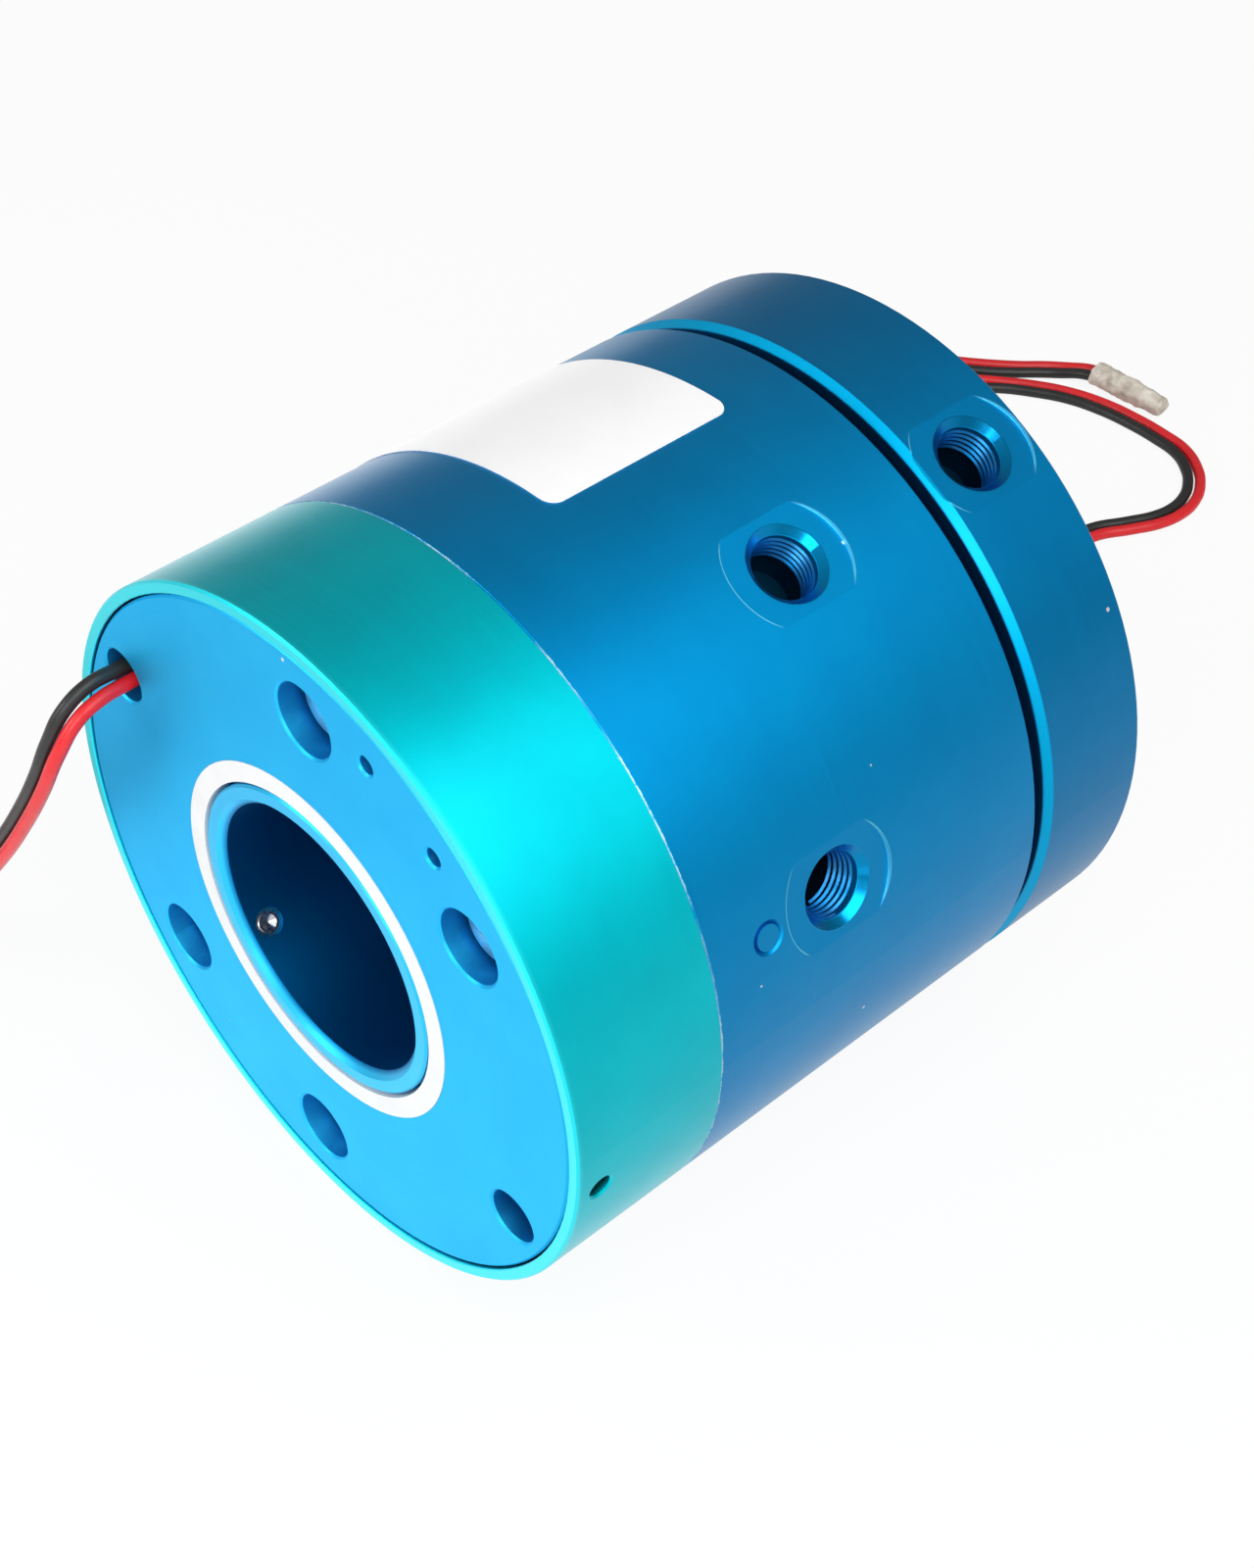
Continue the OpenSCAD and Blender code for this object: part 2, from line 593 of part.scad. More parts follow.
module rear_bearing_balls() color("gainsboro") placed()
    bearing_balls(rear_bearing_start + fit, rear_bearing_w - 2 * fit, rear_pitch_r, rear_ball_r);

module rear_bearing_cage() color("goldenrod") placed()
    bearing_cage(rear_bearing_start + fit, rear_bearing_w - 2 * fit, rear_pitch_r, rear_ball_r);

module body_circlip() color("dimgray") placed() difference() {
    ring(rear_bearing_end + fit, rear_bearing_end + fit + circlip_t, rear_bearing_r + circlip_d - fit,
        rear_bearing_r - circlip_d);
    rotate([0, 0, spare_side]) translate([rear_bearing_r / 2, -clip_opening / 2, -body_end])
        cube([rear_bearing_r, clip_opening, body_len]);
}

module shaft_circlip() color("dimgray") placed() difference() {
    ring(shaft_clip_start, shaft_clip_start + circlip_t, seat_r + circlip_d, seat_r - circlip_d + fit);
    rotate([0, 0, lead_bore_angle]) translate([seat_r / 2, -clip_opening / 2, -body_start])
        cube([seat_r, clip_opening, body_start]);
}

module air_seals() color("ivory") placed()
    for (s = seal_stations)
        ring(s - seal_w / 2 + fit, s + seal_w / 2 - fit, shaft_r + seal_gap + seal_ring_t, shaft_r + seal_gap);

module seal_orings() color("black") placed() {
    seat_in = shaft_r + seal_gap + seal_ring_t + fit;
    section_r = (seal_groove_r - fit - seat_in) / 2;
    for (s = seal_stations) translate([0, 0, -s])
        rotate_extrude() translate([seat_in + section_r, 0]) circle(r = section_r);
}

module rotor_shaft() color("royalblue") placed() difference() {
    rotate_extrude() polygon([
        [bore_r + bore_bevel, -shaft_recess], [tube_r - edge_bevel, -shaft_recess],
        [tube_r, -shaft_recess - edge_bevel], [tube_r, -seat_start], [seat_r, -seat_start],
        [seat_r, -front_bearing_end], [shaft_r, -front_bearing_end], [shaft_r, -shaft_end],
        [bore_r, -shaft_end], [bore_r, -shaft_recess - bore_bevel]
    ]);
    ring(shaft_clip_start - fit, shaft_clip_start + circlip_t + fit / 2, seat_r + cut, seat_r - circlip_d);
    for (a = set_screw_angles) radial_hole(key_station, a, bore_r - cut, tube_r + cut, set_screw_r + fit);
    for (i = [0, 1]) {
        station = i == 0 ? channel_2 : channel_1;
        axial_hole(station - passage_r, shaft_end + cut, passage_r, passage_pcr, flange_port_angles[i]);
        radial_hole(station, flange_port_angles[i], passage_pcr, shaft_r + cut, cross_drill_r);
    }
    axial_hole(seat_start - cut, shaft_end + cut, lead_bore_r, lead_bore_pcr, lead_bore_angle);
    for (a = flange_screw_angles)
        axial_hole(flange_screw_seat - flange_screw_len - tap_room, shaft_end + cut, flange_screw_r + fit,
            flange_screw_pcr, a);
}

module rear_flange() color("steelblue") placed() difference() {
    rotate_extrude() polygon([
        [shaft_r + fit, -rear_bearing_end - fit], [hub_r, -rear_bearing_end - fit], [hub_r, -flange_start],
        [outer_r - flange_bevel, -flange_start], [outer_r, -flange_start - flange_bevel],
        [outer_r, -total_len + edge_bevel], [outer_r - edge_bevel, -total_len],
        [bore_r + bore_bevel, -total_len], [bore_r, -total_len + bore_bevel],
        [bore_r, -shaft_end - fit], [shaft_r + fit, -shaft_end - fit]
    ]);
    for (a = flange_port_angles) {
        air_port(flange_port, a, passage_pcr);
        axial_hole(shaft_end - cut, flange_port + passage_r, passage_r, passage_pcr, a);
        axial_hole(shaft_end - cut, shaft_end + joint_recess_d, joint_recess_r, passage_pcr, a);
    }
    axial_hole(shaft_end - cut, total_len + cut, lead_bore_r, lead_bore_pcr, lead_bore_angle);
    mouth_bevel(total_len, lead_bore_r, mouth, lead_bore_pcr, lead_bore_angle, -1);
    for (a = flange_screw_angles) {
        axial_hole(flange_screw_seat, total_len + cut, flange_counterbore_r, flange_screw_pcr, a);
        axial_hole(shaft_end - cut, total_len, flange_screw_r + screw_play, flange_screw_pcr, a);
        mouth_bevel(total_len, flange_counterbore_r, mouth, flange_screw_pcr, a, -1);
    }
}

module flange_screws() color("silver") placed()
    for (a = flange_screw_angles) rotate([0, 0, a])
        translate([flange_screw_pcr, 0, -flange_screw_seat]) rotate([180, 0, 0])
            cap_screw(flange_screw_r, flange_screw_len);

module flange_orings() color("black") placed()
    for (a = flange_port_angles) rotate([0, 0, a]) translate([passage_pcr, 0, -shaft_end - joint_oring_r])
        rotate_extrude() translate([passage_r + joint_oring_r + fit, 0]) circle(r = joint_oring_r - fit);

module shaft_set_screws() color("silver") placed()
    for (a = set_screw_angles) rotate([0, 0, a])
        translate([bore_r + set_screw_recess, 0, -key_station]) rotate([0, 90, 0]) difference() {
            length = tube_wall - set_screw_recess - apart;
            socket = length / 3;
            rotate_extrude() polygon([
                [0, set_screw_tip_r / 2], [set_screw_tip_r * 0.75, 0], [set_screw_tip_r, 0],
                [set_screw_r, set_screw_r - set_screw_tip_r], [set_screw_r, length], [0, length]
            ]);
            translate([0, 0, length - socket])
                cylinder(h = 2 * socket, r = set_screw_r * socket_share, $fn = 6);
        }

module ring_sleeve() color("saddlebrown") placed() rotate_extrude() difference() {
    translate([tube_r + fit, -sleeve_end]) square([rib_r - tube_r - fit, sleeve_end - sleeve_start]);
    for (s = ring_stations)
        translate([ring_in_r - fit, -s - ring_w / 2 - fit]) square([rib_r, ring_w + 2 * fit]);
}

module contact_rings() color("gold") placed()
    for (s = ring_stations) ring(s - ring_w / 2, s + ring_w / 2, ring_out_r, ring_in_r);

module brush_block() color("dimgray") placed() rotate([0, 0, lead_side])
    translate([block_in, -pocket_w / 2 + fit, -block_end])
        cube([pocket_r - fit - block_in, pocket_w - 2 * fit, block_end - block_start]);

module brushes() color("darkgoldenrod") placed() rotate([0, 0, lead_side])
    for (s = ring_stations) translate([ring_out_r + brush_gap, -brush_w / 2, -s - ring_w / 3])
        cube([brush_len, brush_w, 2 * ring_w / 3]);

// Tube swept along a centre line: one ring of points at each of the line's points
function unit(v) = v / norm(v);
function tangent(p, i) = unit(p[min(i + 1, len(p) - 1)] - p[max(i - 1, 0)]);
function side_of(t) = unit(cross(t, abs(t[2]) > steep ? [1, 0, 0] : [0, 0, 1]));
function tube_points(p) = [
    for (i = [0:len(p) - 1]) let (t = tangent(p, i), u = side_of(t), v = cross(t, u))
        for (k = [0:lead_sides - 1]) let (a = 360 * k / lead_sides) p[i] + lead_r * (cos(a) * u + sin(a) * v)
];
function tube_faces(n) = concat(
    [[for (k = [0:lead_sides - 1]) k]],
    [for (i = [0:n - 2], k = [0:lead_sides - 1]) let (j = (k + 1) % lead_sides, b = i * lead_sides)
        [b + k, b + lead_sides + k, b + lead_sides + j, b + j]],
    [[for (k = [lead_sides - 1:-1:0]) (n - 1) * lead_sides + k]]
);
module lead(route) polyhedron(points = tube_points(route), faces = tube_faces(len(route)), convexity = 6);

module front_lead_red() color("red") lead(front_red_route);
module front_lead_black() color("black") lead(front_black_route);
module rear_lead_red() color("red") lead(rear_red_route);
module rear_lead_black() color("black") lead(rear_black_route);

module front_lead_coil() color("firebrick")
    translate([coil_centre[0], coil_centre[1], -outer_r]) rotate_extrude()
        translate([coil_in, 0]) square([coil_out - coil_in, coil_h]);

module lead_tape() color("wheat")
    translate(tape_end) rotate([0, 90, tape_turn]) cylinder(h = tape_len, r = tape_r);

slip_ring_housing();
front_cover();
cover_screws();
housing_screws();
dust_ring();
port_body();
flush_plug();
label();
front_bearing_outer();
rear_bearing_outer();
body_circlip();
air_seals();
seal_orings();
brush_block();
brushes();
front_lead_red();
front_lead_black();
front_lead_coil();
rotor_shaft();
rear_flange();
flange_screws();
flange_orings();
shaft_set_screws();
front_bearing_inner();
front_bearing_balls();
front_bearing_cage();
rear_bearing_inner();
rear_bearing_balls();
rear_bearing_cage();
shaft_circlip();
ring_sleeve();
contact_rings();
rear_lead_red();
rear_lead_black();
lead_tape();
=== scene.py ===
# %% [markdown]
# # A rotary union in anodised aluminium
# A rotary union passes compressed air, and here two electric circuits as well, from a part that stands
# still to a part that turns. The turned metal pieces come ready from the CAD model, each where it
# belongs, so this lesson adds what CAD leaves out: the soft leads, the threads in the air ports, the
# tape, and above all the finishes.

# %% Load the CAD model
import math
import bpy
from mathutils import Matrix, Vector


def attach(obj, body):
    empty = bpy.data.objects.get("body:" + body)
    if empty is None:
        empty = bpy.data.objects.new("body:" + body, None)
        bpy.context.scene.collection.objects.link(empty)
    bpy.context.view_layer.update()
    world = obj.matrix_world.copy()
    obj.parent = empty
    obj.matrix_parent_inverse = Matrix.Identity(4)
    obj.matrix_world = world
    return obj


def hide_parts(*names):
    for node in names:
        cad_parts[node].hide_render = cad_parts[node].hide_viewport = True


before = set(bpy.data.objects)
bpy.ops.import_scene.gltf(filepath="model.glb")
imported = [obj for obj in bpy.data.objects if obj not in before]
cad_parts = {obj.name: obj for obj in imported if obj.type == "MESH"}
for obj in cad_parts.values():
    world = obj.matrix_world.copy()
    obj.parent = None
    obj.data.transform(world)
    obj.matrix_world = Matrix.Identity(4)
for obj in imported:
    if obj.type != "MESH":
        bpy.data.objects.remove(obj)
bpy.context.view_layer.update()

MM = 0.001

# %% [markdown]
# ## The camera
# The union was photographed from its right, a little over 40 degrees above the table and quite close, so
# its round front face is drawn as a leaning ellipse. A close camera needs its true distance and lens,
# not only its direction: with a longer lens the far flange would come out as large as the front rim.

# %% Camera
bpy.ops.object.select_all(action="DESELECT")
bpy.ops.object.camera_add(
    location=(0.19085, -0.17251, 0.23534),
    rotation=(math.radians(47.007), 0, math.radians(47.322)),
)
camera = bpy.context.object
camera.name = "photo_camera"
camera.data.lens = 59.81
camera.data.sensor_width = 36
bpy.context.scene.camera = camera
print("camera is", round(camera.location.length / MM), "mm from the middle of the bore")

# %% [markdown]
# ## The routes of the leads
# Two thin leads, red and black, come out of the front cover and two more out of the rear flange. A lead
# is a length of something soft: it leaves its hole straight, bends down under its own weight and then
# lies on the table. A curve with a round section is the natural tool, because the section stays round
# wherever the path turns. The points below are the CAD model's own, in millimetres, so the visible lead
# lies where its solid is.

# %% Routes
front_red_route = [
    (-36, -37.75, 19.6), (-36, -49.75, 19.6), (-35.9, -53.8, 19.4), (-36.1, -57.3, 17.8),
    (-37, -60.2, 13.5), (-40.2, -61.8, 5.9), (-45.5, -62.7, -3.2), (-52.3, -63.6, -13.4),
    (-60.6, -64.5, -24), (-70.3, -66.3, -34.6), (-80.9, -68.1, -42.9), (-90.7, -69.4, -47.6),
    (-98, -70.2, -48.4),
]
front_black_route = [
    (-37.6, -37.75, 21), (-37.6, -49.75, 21), (-37.7, -54.2, 20.8), (-37.9, -57.9, 18.8),
    (-39.2, -60.2, 14.1), (-42.2, -61.4, 6.9), (-47.3, -62.1, -2), (-54.1, -62.8, -12.2),
    (-62.2, -63.5, -22.8), (-71.7, -64.9, -33.4), (-81.9, -66.3, -41.9), (-91.3, -67.4, -46.8),
    (-100, -68.1, -47.6),
]
rear_red_route = [
    (-20, -31.75, 12.2), (-20, 0, 12.2), (-20, 30, 12.2), (-20, 49.75, 12.2), (-20, 58, 12.1),
    (-20.2, 68, 9.5), (-20.4, 78, 2), (-20.8, 87, -10), (-21.5, 96, -24), (-22.5, 106, -36.6),
    (-23.8, 117.5, -45.2), (-24.6, 130, -48.1), (-23.9, 139.3, -48.5), (-20.9, 145.2, -48.5),
    (-18.5, 150.4, -48.5), (-17.7, 155.2, -48.5), (-18.4, 160, -48.5), (-20.8, 164.7, -48.5),
    (-24.6, 168.6, -48.5), (-29.6, 171.4, -48.5), (-35.4, 172.3, -48.5), (-42, 172.5, -48.5),
    (-49.2, 171.9, -48.5), (-56, 170, -48.5), (-62, 166.9, -48.5), (-67.3, 163.1, -48.5),
    (-72, 159, -48.2), (-74, 155.3, -46.9), (-75.3, 151, -46.1), (-76.7, 146.7, -46.6),
    (-79, 142.7, -47.9), (-84.1, 140.8, -48.5), (-89.7, 143, -48.5), (-91.9, 148.6, -48.5),
    (-89.6, 154, -48.5), (-84.9, 157.8, -48.5), (-79.5, 160.8, -48.5), (-73.8, 165, -48.5),
    (-68.5, 169.7, -48.5), (-65.2, 173.2, -48.5), (-61.6, 176, -48.2), (-58, 177.4, -47.4),
    (-54.4, 177.7, -46.7),
]
rear_black_route = [
    (-21, -31.75, 10.4), (-21, 0, 10.4), (-21, 30, 10.4), (-21, 49.75, 10.4), (-21.2, 58, 10.1),
    (-21.8, 67.5, 7.7), (-22.4, 77, 0.8), (-22.9, 86, -11), (-23.6, 95, -25), (-24.6, 105, -37.6),
    (-26, 116.8, -45.8), (-26.7, 129.4, -48.1), (-25.9, 140.1, -48.5), (-22.8, 146.3, -48.5),
    (-20.6, 151.1, -48.5), (-19.9, 155.2, -48.5), (-20.5, 159.3, -48.5), (-22.6, 163.4, -48.5),
    (-26, 166.9, -48.5), (-30.3, 169.3, -48.5), (-35.5, 170.1, -48.5), (-42, 170.3, -48.5),
    (-48.8, 169.7, -48.5), (-55.2, 168, -48.5), (-60.8, 165, -48.5), (-65.9, 161.4, -48.5),
    (-70, 157, -48.5), (-74, 152.5, -48.5), (-77, 148.5, -48.5), (-80.3, 144.7, -48.5),
    (-84.2, 143.2, -48.5), (-88, 144.7, -48.5), (-89.5, 148.5, -48.5), (-88, 152.4, -48.5),
    (-83.2, 156.1, -48.5), (-77.8, 159.1, -48.5), (-72, 163.2, -48.5), (-68.3, 166.6, -48.5),
    (-64.7, 170.5, -48.5), (-61.4, 173.3, -48.2), (-58, 175, -47.4), (-54.4, 175.5, -46.7),
]
routes = (front_red_route, front_black_route, rear_red_route, rear_black_route)
print("route points:", [len(route) for route in routes])

# %% [markdown]
# ## The coiled ends of the front leads
# The front leads are longer than the picture shows. Their spare length is wound into a small flat coil
# beside the union, black outside and red inside, each turn a wire's thickness above the last. A few
# lines of trigonometry place the points of a coil more evenly than a hand could.

# %% Coil
COIL_CENTRE = (-100.5, -80.2)
COIL_FOOT = -48.0
COIL_RISE = 2.1
RED_COIL, BLACK_COIL = 9.9, 12.0
STEPS = 15


def wind(radius, start, turns):
    """Points of a coil that climbs as it goes round, from the angle start in degrees."""
    points = []
    for step in range(round(turns * STEPS) + 1):
        angle = math.radians(start + 360 / STEPS * step)
        points.append((
            COIL_CENTRE[0] + radius * math.cos(angle),
            COIL_CENTRE[1] + radius * math.sin(angle),
            COIL_FOOT + COIL_RISE * step / STEPS,
        ))
    return points


red_turns, black_turns = 3.0, 2.5
front_red_route += wind(RED_COIL, 103, red_turns)
front_black_route += wind(BLACK_COIL, 110, black_turns)
print("coil turns:", red_turns, "red,", black_turns, "black")

# %% [markdown]
# ## Laying the leads
# Automatic handles make a smooth path through every point. Outside the union each lead is about 270 to
# 310 mm long, as such unions are sold. The rear leads have 81 mm more, hidden in the drilled shaft.

# %% Leads
LEAD_RADIUS = 1.0
LOWEST = -48.42


def lay_lead(name, route):
    """A round lead through the points of a route. Smoothing dips a little, so no point is below LOWEST."""
    curve = bpy.data.curves.new(name, "CURVE")
    curve.dimensions = "3D"
    path = curve.splines.new("BEZIER")
    path.bezier_points.add(len(route) - 1)
    for knot, point in zip(path.bezier_points, route):
        across, along, up = point
        knot.co = Vector((across, along, max(up, LOWEST))) * MM
        knot.handle_left_type = knot.handle_right_type = "AUTO"
    curve.bevel_depth = LEAD_RADIUS * MM
    curve.bevel_resolution = 5
    curve.resolution_u = 8
    curve.use_fill_caps = True
    lead = bpy.data.objects.new(name, curve)
    bpy.context.collection.objects.link(lead)
    print(name, "is", round(path.calc_length() / MM, 1), "mm long")
    return lead


front_red = lay_lead("front_red_wire", front_red_route)
front_black = lay_lead("front_black_wire", front_black_route)
rear_red = lay_lead("rear_red_wire", rear_red_route)
rear_black = lay_lead("rear_black_wire", rear_black_route)

# %% [markdown]
# ## Small helpers for shader nodes
# The floor, the room and every finish are each a little graph of nodes. `put` adds one node, sets it,
# and connects or fills its sockets, so a graph reads as a list. An effect that several finishes share is
# built once, as a group with named sockets.


# %% Node helpers
def feed(tree, node, feeds):
    """Connects each named socket of a node to another node's socket, or fills it with a value."""
    for socket, value in feeds.items():
        if isinstance(value, bpy.types.NodeSocket):
            tree.links.new(value, node.inputs[socket])
        else:
            node.inputs[socket].default_value = value


def put(tree, kind, feeds=None, **settings):
    node = tree.nodes.new("ShaderNode" + kind)
    for name, value in settings.items():
        setattr(node, name, value)
    feed(tree, node, feeds or {})
    return node


def new_group(name, inputs, outputs):
    """An empty node group: inputs are (name, kind, value), outputs are (name, kind)."""
    group = bpy.data.node_groups.new(name, "ShaderNodeTree")
    for label, kind, value in inputs:
        socket = group.interface.new_socket(label, in_out="INPUT", socket_type="NodeSocket" + kind)
        if value is not None:
            socket.default_value = value
    for label, kind in outputs:
        group.interface.new_socket(label, in_out="OUTPUT", socket_type="NodeSocket" + kind)
    return group, group.nodes.new("NodeGroupInput").outputs, group.nodes.new("NodeGroupOutput").inputs


print("node helpers ready")


# %% Short names for common nodes
def math_node(tree, operation, a, b=0.0, c=0.0, clamp=False):
    return put(tree, "Math", {0: a, 1: b, 2: c}, operation=operation, use_clamp=clamp).outputs[0]


def vector_node(tree, operation, output, feeds):
    return put(tree, "VectorMath", feeds, operation=operation).outputs[output]


def blend(tree, factor, a, b):
    return put(tree, "Mix", {0: factor, 6: a, 7: b}, data_type="RGBA").outputs[2]


def remap(tree, value, low, high, to_low=0.0, to_high=1.0):
    return put(tree, "MapRange", {
        "Value": value, "From Min": low, "From Max": high, "To Min": to_low, "To Max": to_high,
    }).outputs[0]


print("short names ready")

# %% [markdown]
# ## The floor
# The picture has a white ground. The floor is one wide white sheet under the union. The camera, and the
# mirror images in the metal, see it nearly white. Near the union a part of its own shading stays, so the
# union's soft shadow lies on it, and far off it is pure white, so no edge shows against the room. In the
# mirror images the sheet carries a painted pool of light: its glow is brightest just before the front
# face and dims further out.

# %% Floor sheet
FLOOR = -49.55
bpy.ops.object.select_all(action="DESELECT")
bpy.ops.mesh.primitive_plane_add(size=3.0, location=(0, 0, FLOOR * MM))
floor = bpy.context.object
floor.name = "floor_sheet"
bpy.ops.object.mode_set(mode="EDIT")
bpy.ops.mesh.subdivide(number_cuts=2)
bpy.ops.object.mode_set(mode="OBJECT")
print("floor at", FLOOR, "mm")

# %% Floor paper
NEAR_SHARE, FAR_SHARE = 0.90, 1.0
MIRROR_SHARE = 0.85
paper = bpy.data.materials.new("floor_paper")
paper.use_nodes = True
tree = paper.node_tree
tree.nodes.clear()
rays = put(tree, "LightPath").outputs
place = put(tree, "TexCoord").outputs["Object"]
distance = vector_node(tree, "LENGTH", "Value", {0: place})
white_share = remap(tree, distance, 0.3, 0.8, NEAR_SHARE, FAR_SHARE)
straight = math_node(tree, "MULTIPLY", rays["Is Camera Ray"], white_share)
mirrored = math_node(tree, "MAXIMUM", rays["Is Glossy Ray"], rays["Is Transmission Ray"])
share = math_node(tree, "MAXIMUM", straight, math_node(tree, "MULTIPLY", mirrored, MIRROR_SHARE))
print("the paper glows white by", NEAR_SHARE, "near the union and by", FAR_SHARE, "far off")

# %% Floor in mirror images
# A painted pool of light: the glow that mirror images see is shaped by the place on the sheet.
TO_THE_FRONT = (-0.6, -0.8, 0)
REACH = 0.2
GLOW = 2.0
SPREAD = ((0.25, 0.31), (0.4, 0.31), (0.5, 0.39), (0.6, 0.61), (0.68, 0.65), (0.82, 0.5))
forward = vector_node(tree, "DOT_PRODUCT", "Value", {0: place, 1: TO_THE_FRONT})
painted_pool = put(tree, "FloatCurve", {"Value": remap(tree, forward, -REACH, REACH)})
shape = painted_pool.mapping.curves[0]
shape.points[0].location = (0.0, 0.33)
shape.points[1].location = (1.0, 0.45)
for along, height in SPREAD:
    shape.points.new(along, height)
painted_pool.mapping.update()
mirror_level = math_node(tree, "MULTIPLY", painted_pool.outputs[0], GLOW)
level = put(tree, "Mix", {0: rays["Is Camera Ray"], 2: mirror_level, 3: 1.0}).outputs[0]
matt = put(tree, "BsdfDiffuse", {"Color": (0.9, 0.9, 0.9, 1)})
glow = put(tree, "Emission", {"Strength": level})
sheet = put(tree, "MixShader", {0: share, 1: matt.outputs[0], 2: glow.outputs[0]})
put(tree, "OutputMaterial", {"Surface": sheet.outputs[0]})
floor.data.materials.append(paper)
peak = max(SPREAD, key=lambda spot: spot[1])[0]
print("brightest in mirror images", round((2 * peak - 1) * REACH / MM), "mm before the middle")

# %% [markdown]
# ## The room and the lamps
# Metal shows its surroundings, so the room matters as much as the lamps. It is white to the camera, and
# for all else it falls off softly from the bright front to a dim back. That slow change is what draws a
# round satin body. One large lamp on the right stands in for a studio window, and two small ones lighten
# the front.

# %% Room
DIM, BRIGHT = 0.19, 0.48
room = bpy.data.worlds.new("studio_room")
bpy.context.scene.world = room
room.use_nodes = True
tree = room.node_tree
tree.nodes.clear()
sky = put(tree, "TexCoord").outputs["Generated"]
bright_side = Vector((0.3, -0.6, 0.5)).normalized()
towards = vector_node(tree, "DOT_PRODUCT", "Value", {0: sky, 1: bright_side})
fall = remap(tree, towards, -0.7, 0.9, DIM, BRIGHT)
seen = put(tree, "LightPath").outputs["Is Camera Ray"]
level = put(tree, "Mix", {0: seen, 2: fall, 3: 1.0}).outputs[0]
glow = put(tree, "Background", {"Color": (1, 1, 1, 1), "Strength": level})
put(tree, "OutputWorld", {"Surface": glow.outputs[0]})
bpy.context.scene.view_settings.view_transform = "Standard"
print("room from", DIM, "to", BRIGHT, "bright")


# %% Lamps
def hang_lamp(name, place, aim, size, power):
    """A square soft lamp at place, turned towards aim, both in metres."""
    bpy.ops.object.select_all(action="DESELECT")
    bpy.ops.object.light_add(type="AREA", location=place)
    lamp = bpy.context.object
    lamp.name = name
    lamp.data.size = size
    lamp.data.energy = power
    lamp.rotation_euler = (Vector(aim) - lamp.location).to_track_quat("-Z", "Y").to_euler()
    print(name, "gives", power, "W")


hang_lamp("window_light", (0.38, -0.06, 0.50), (0, 0, 0), 0.58, 3.0)
hang_lamp("front_fill", (-0.28, -0.42, 0.22), (-0.05, -0.08, -0.02), 0.2, 0.7)
hang_lamp("front_softbox", (0.25, -0.50, 0.25), (0, 0, 0), 0.3, 1.2)

# %% [markdown]
# ## Turning lines
# A lathe leaves fine rings: along the outside of a cylinder they are circles side by side, and on an end
# face they are circles inside each other. Both follow from two numbers, the distance from the axis and
# the place along it. So the group stretches one noise over those two, and adds the direction round the
# axis only weakly, so that a ring changes a little on its way round.

# %% Turning lines group
turning, ins, outs = new_group(
    "turning lines",
    [("Position", "Vector", None), ("Rings per mm", "Float", 6.0), ("Drift", "Float", 0.8)],
    [("Lines", "Float")],
)
split = put(turning, "SeparateXYZ", {0: ins["Position"]}).outputs
flat = put(turning, "CombineXYZ", {0: split[0], 2: split[2]}).outputs[0]
radius = vector_node(turning, "LENGTH", "Value", {0: flat})
round_way = vector_node(turning, "NORMALIZE", "Vector", {0: flat})
round_split = put(turning, "SeparateXYZ", {0: round_way}).outputs
per_metre = math_node(turning, "MULTIPLY", ins["Rings per mm"], 1000.0)
stretched = put(turning, "CombineXYZ", {
    0: math_node(turning, "MULTIPLY", radius, per_metre),
    1: math_node(turning, "MULTIPLY", split[1], per_metre),
    2: math_node(turning, "MULTIPLY", round_split[0], ins["Drift"]),
}).outputs[0]
slow = math_node(turning, "MULTIPLY", round_split[2], ins["Drift"])
rings = put(turning, "TexNoise", {
    "Vector": stretched, "W": slow, "Scale": 1.0, "Detail": 3.0, "Roughness": 0.6,
}, noise_dimensions="4D")
turning.links.new(rings.outputs[0], outs["Lines"])
print("group made:", turning.name)

# %% [markdown]
# ## Uneven dye
# Dye soaks into anodised metal a little unevenly, so its colour drifts by a few per cent over broad
# patches. A second, very fine noise gives the grain that every skin, moulding and film has close up.

# %% Mottle group
mottle, ins, outs = new_group(
    "dye mottle",
    [("Position", "Vector", None), ("Patch size", "Float", 12.0)],
    [("Patches", "Float"), ("Grain", "Float")],
)
patch_scale = math_node(mottle, "DIVIDE", 1000.0, ins["Patch size"])
patches = put(mottle, "TexNoise", {
    "Vector": ins["Position"], "Scale": patch_scale, "Detail": 3.0, "Roughness": 0.55,
})
grain = put(mottle, "TexNoise", {
    "Vector": ins["Position"], "Scale": 3200.0, "Detail": 2.0, "Roughness": 0.6,
})
mottle.links.new(remap(mottle, patches.outputs[0], 0.3, 0.7), outs["Patches"])
mottle.links.new(grain.outputs[0], outs["Grain"])
print("group made:", mottle.name)

# %% [markdown]
# ## Worn edges
# Sharp edges lose the dyed skin first and show bright metal in broken dashes. An edge turned on a lathe
# lies at one place along the axis, so the distance from that place draws the line. One noise frays its
# sides, and a broader one leaves parts of it out.

# %% Worn edge group
worn, ins, outs = new_group(
    "worn edge",
    [
        ("Position", "Vector", None), ("Edge at", "Float", 0.0),
        ("Width", "Float", 0.3), ("Broken", "Float", 0.5),
    ],
    [("Bare", "Float")],
)
split = put(worn, "SeparateXYZ", {0: ins["Position"]}).outputs
along = math_node(worn, "MULTIPLY", split[1], 1000.0)
away = math_node(worn, "ABSOLUTE", math_node(worn, "SUBTRACT", along, ins["Edge at"]))
chips = put(worn, "TexNoise", {
    "Vector": ins["Position"], "Scale": 900.0, "Detail": 4.0, "Roughness": 0.7,
}).outputs[0]
gaps = put(worn, "TexNoise", {"Vector": ins["Position"], "Scale": 70.0, "Detail": 2.0}).outputs[0]
ragged = math_node(worn, "MULTIPLY", ins["Width"], remap(worn, chips, 0.35, 0.65, 0.25, 1.6))
near = remap(worn, math_node(worn, "DIVIDE", away, ragged), 1.15, 0.75)
missing = math_node(worn, "MULTIPLY", ins["Broken"], 0.4)
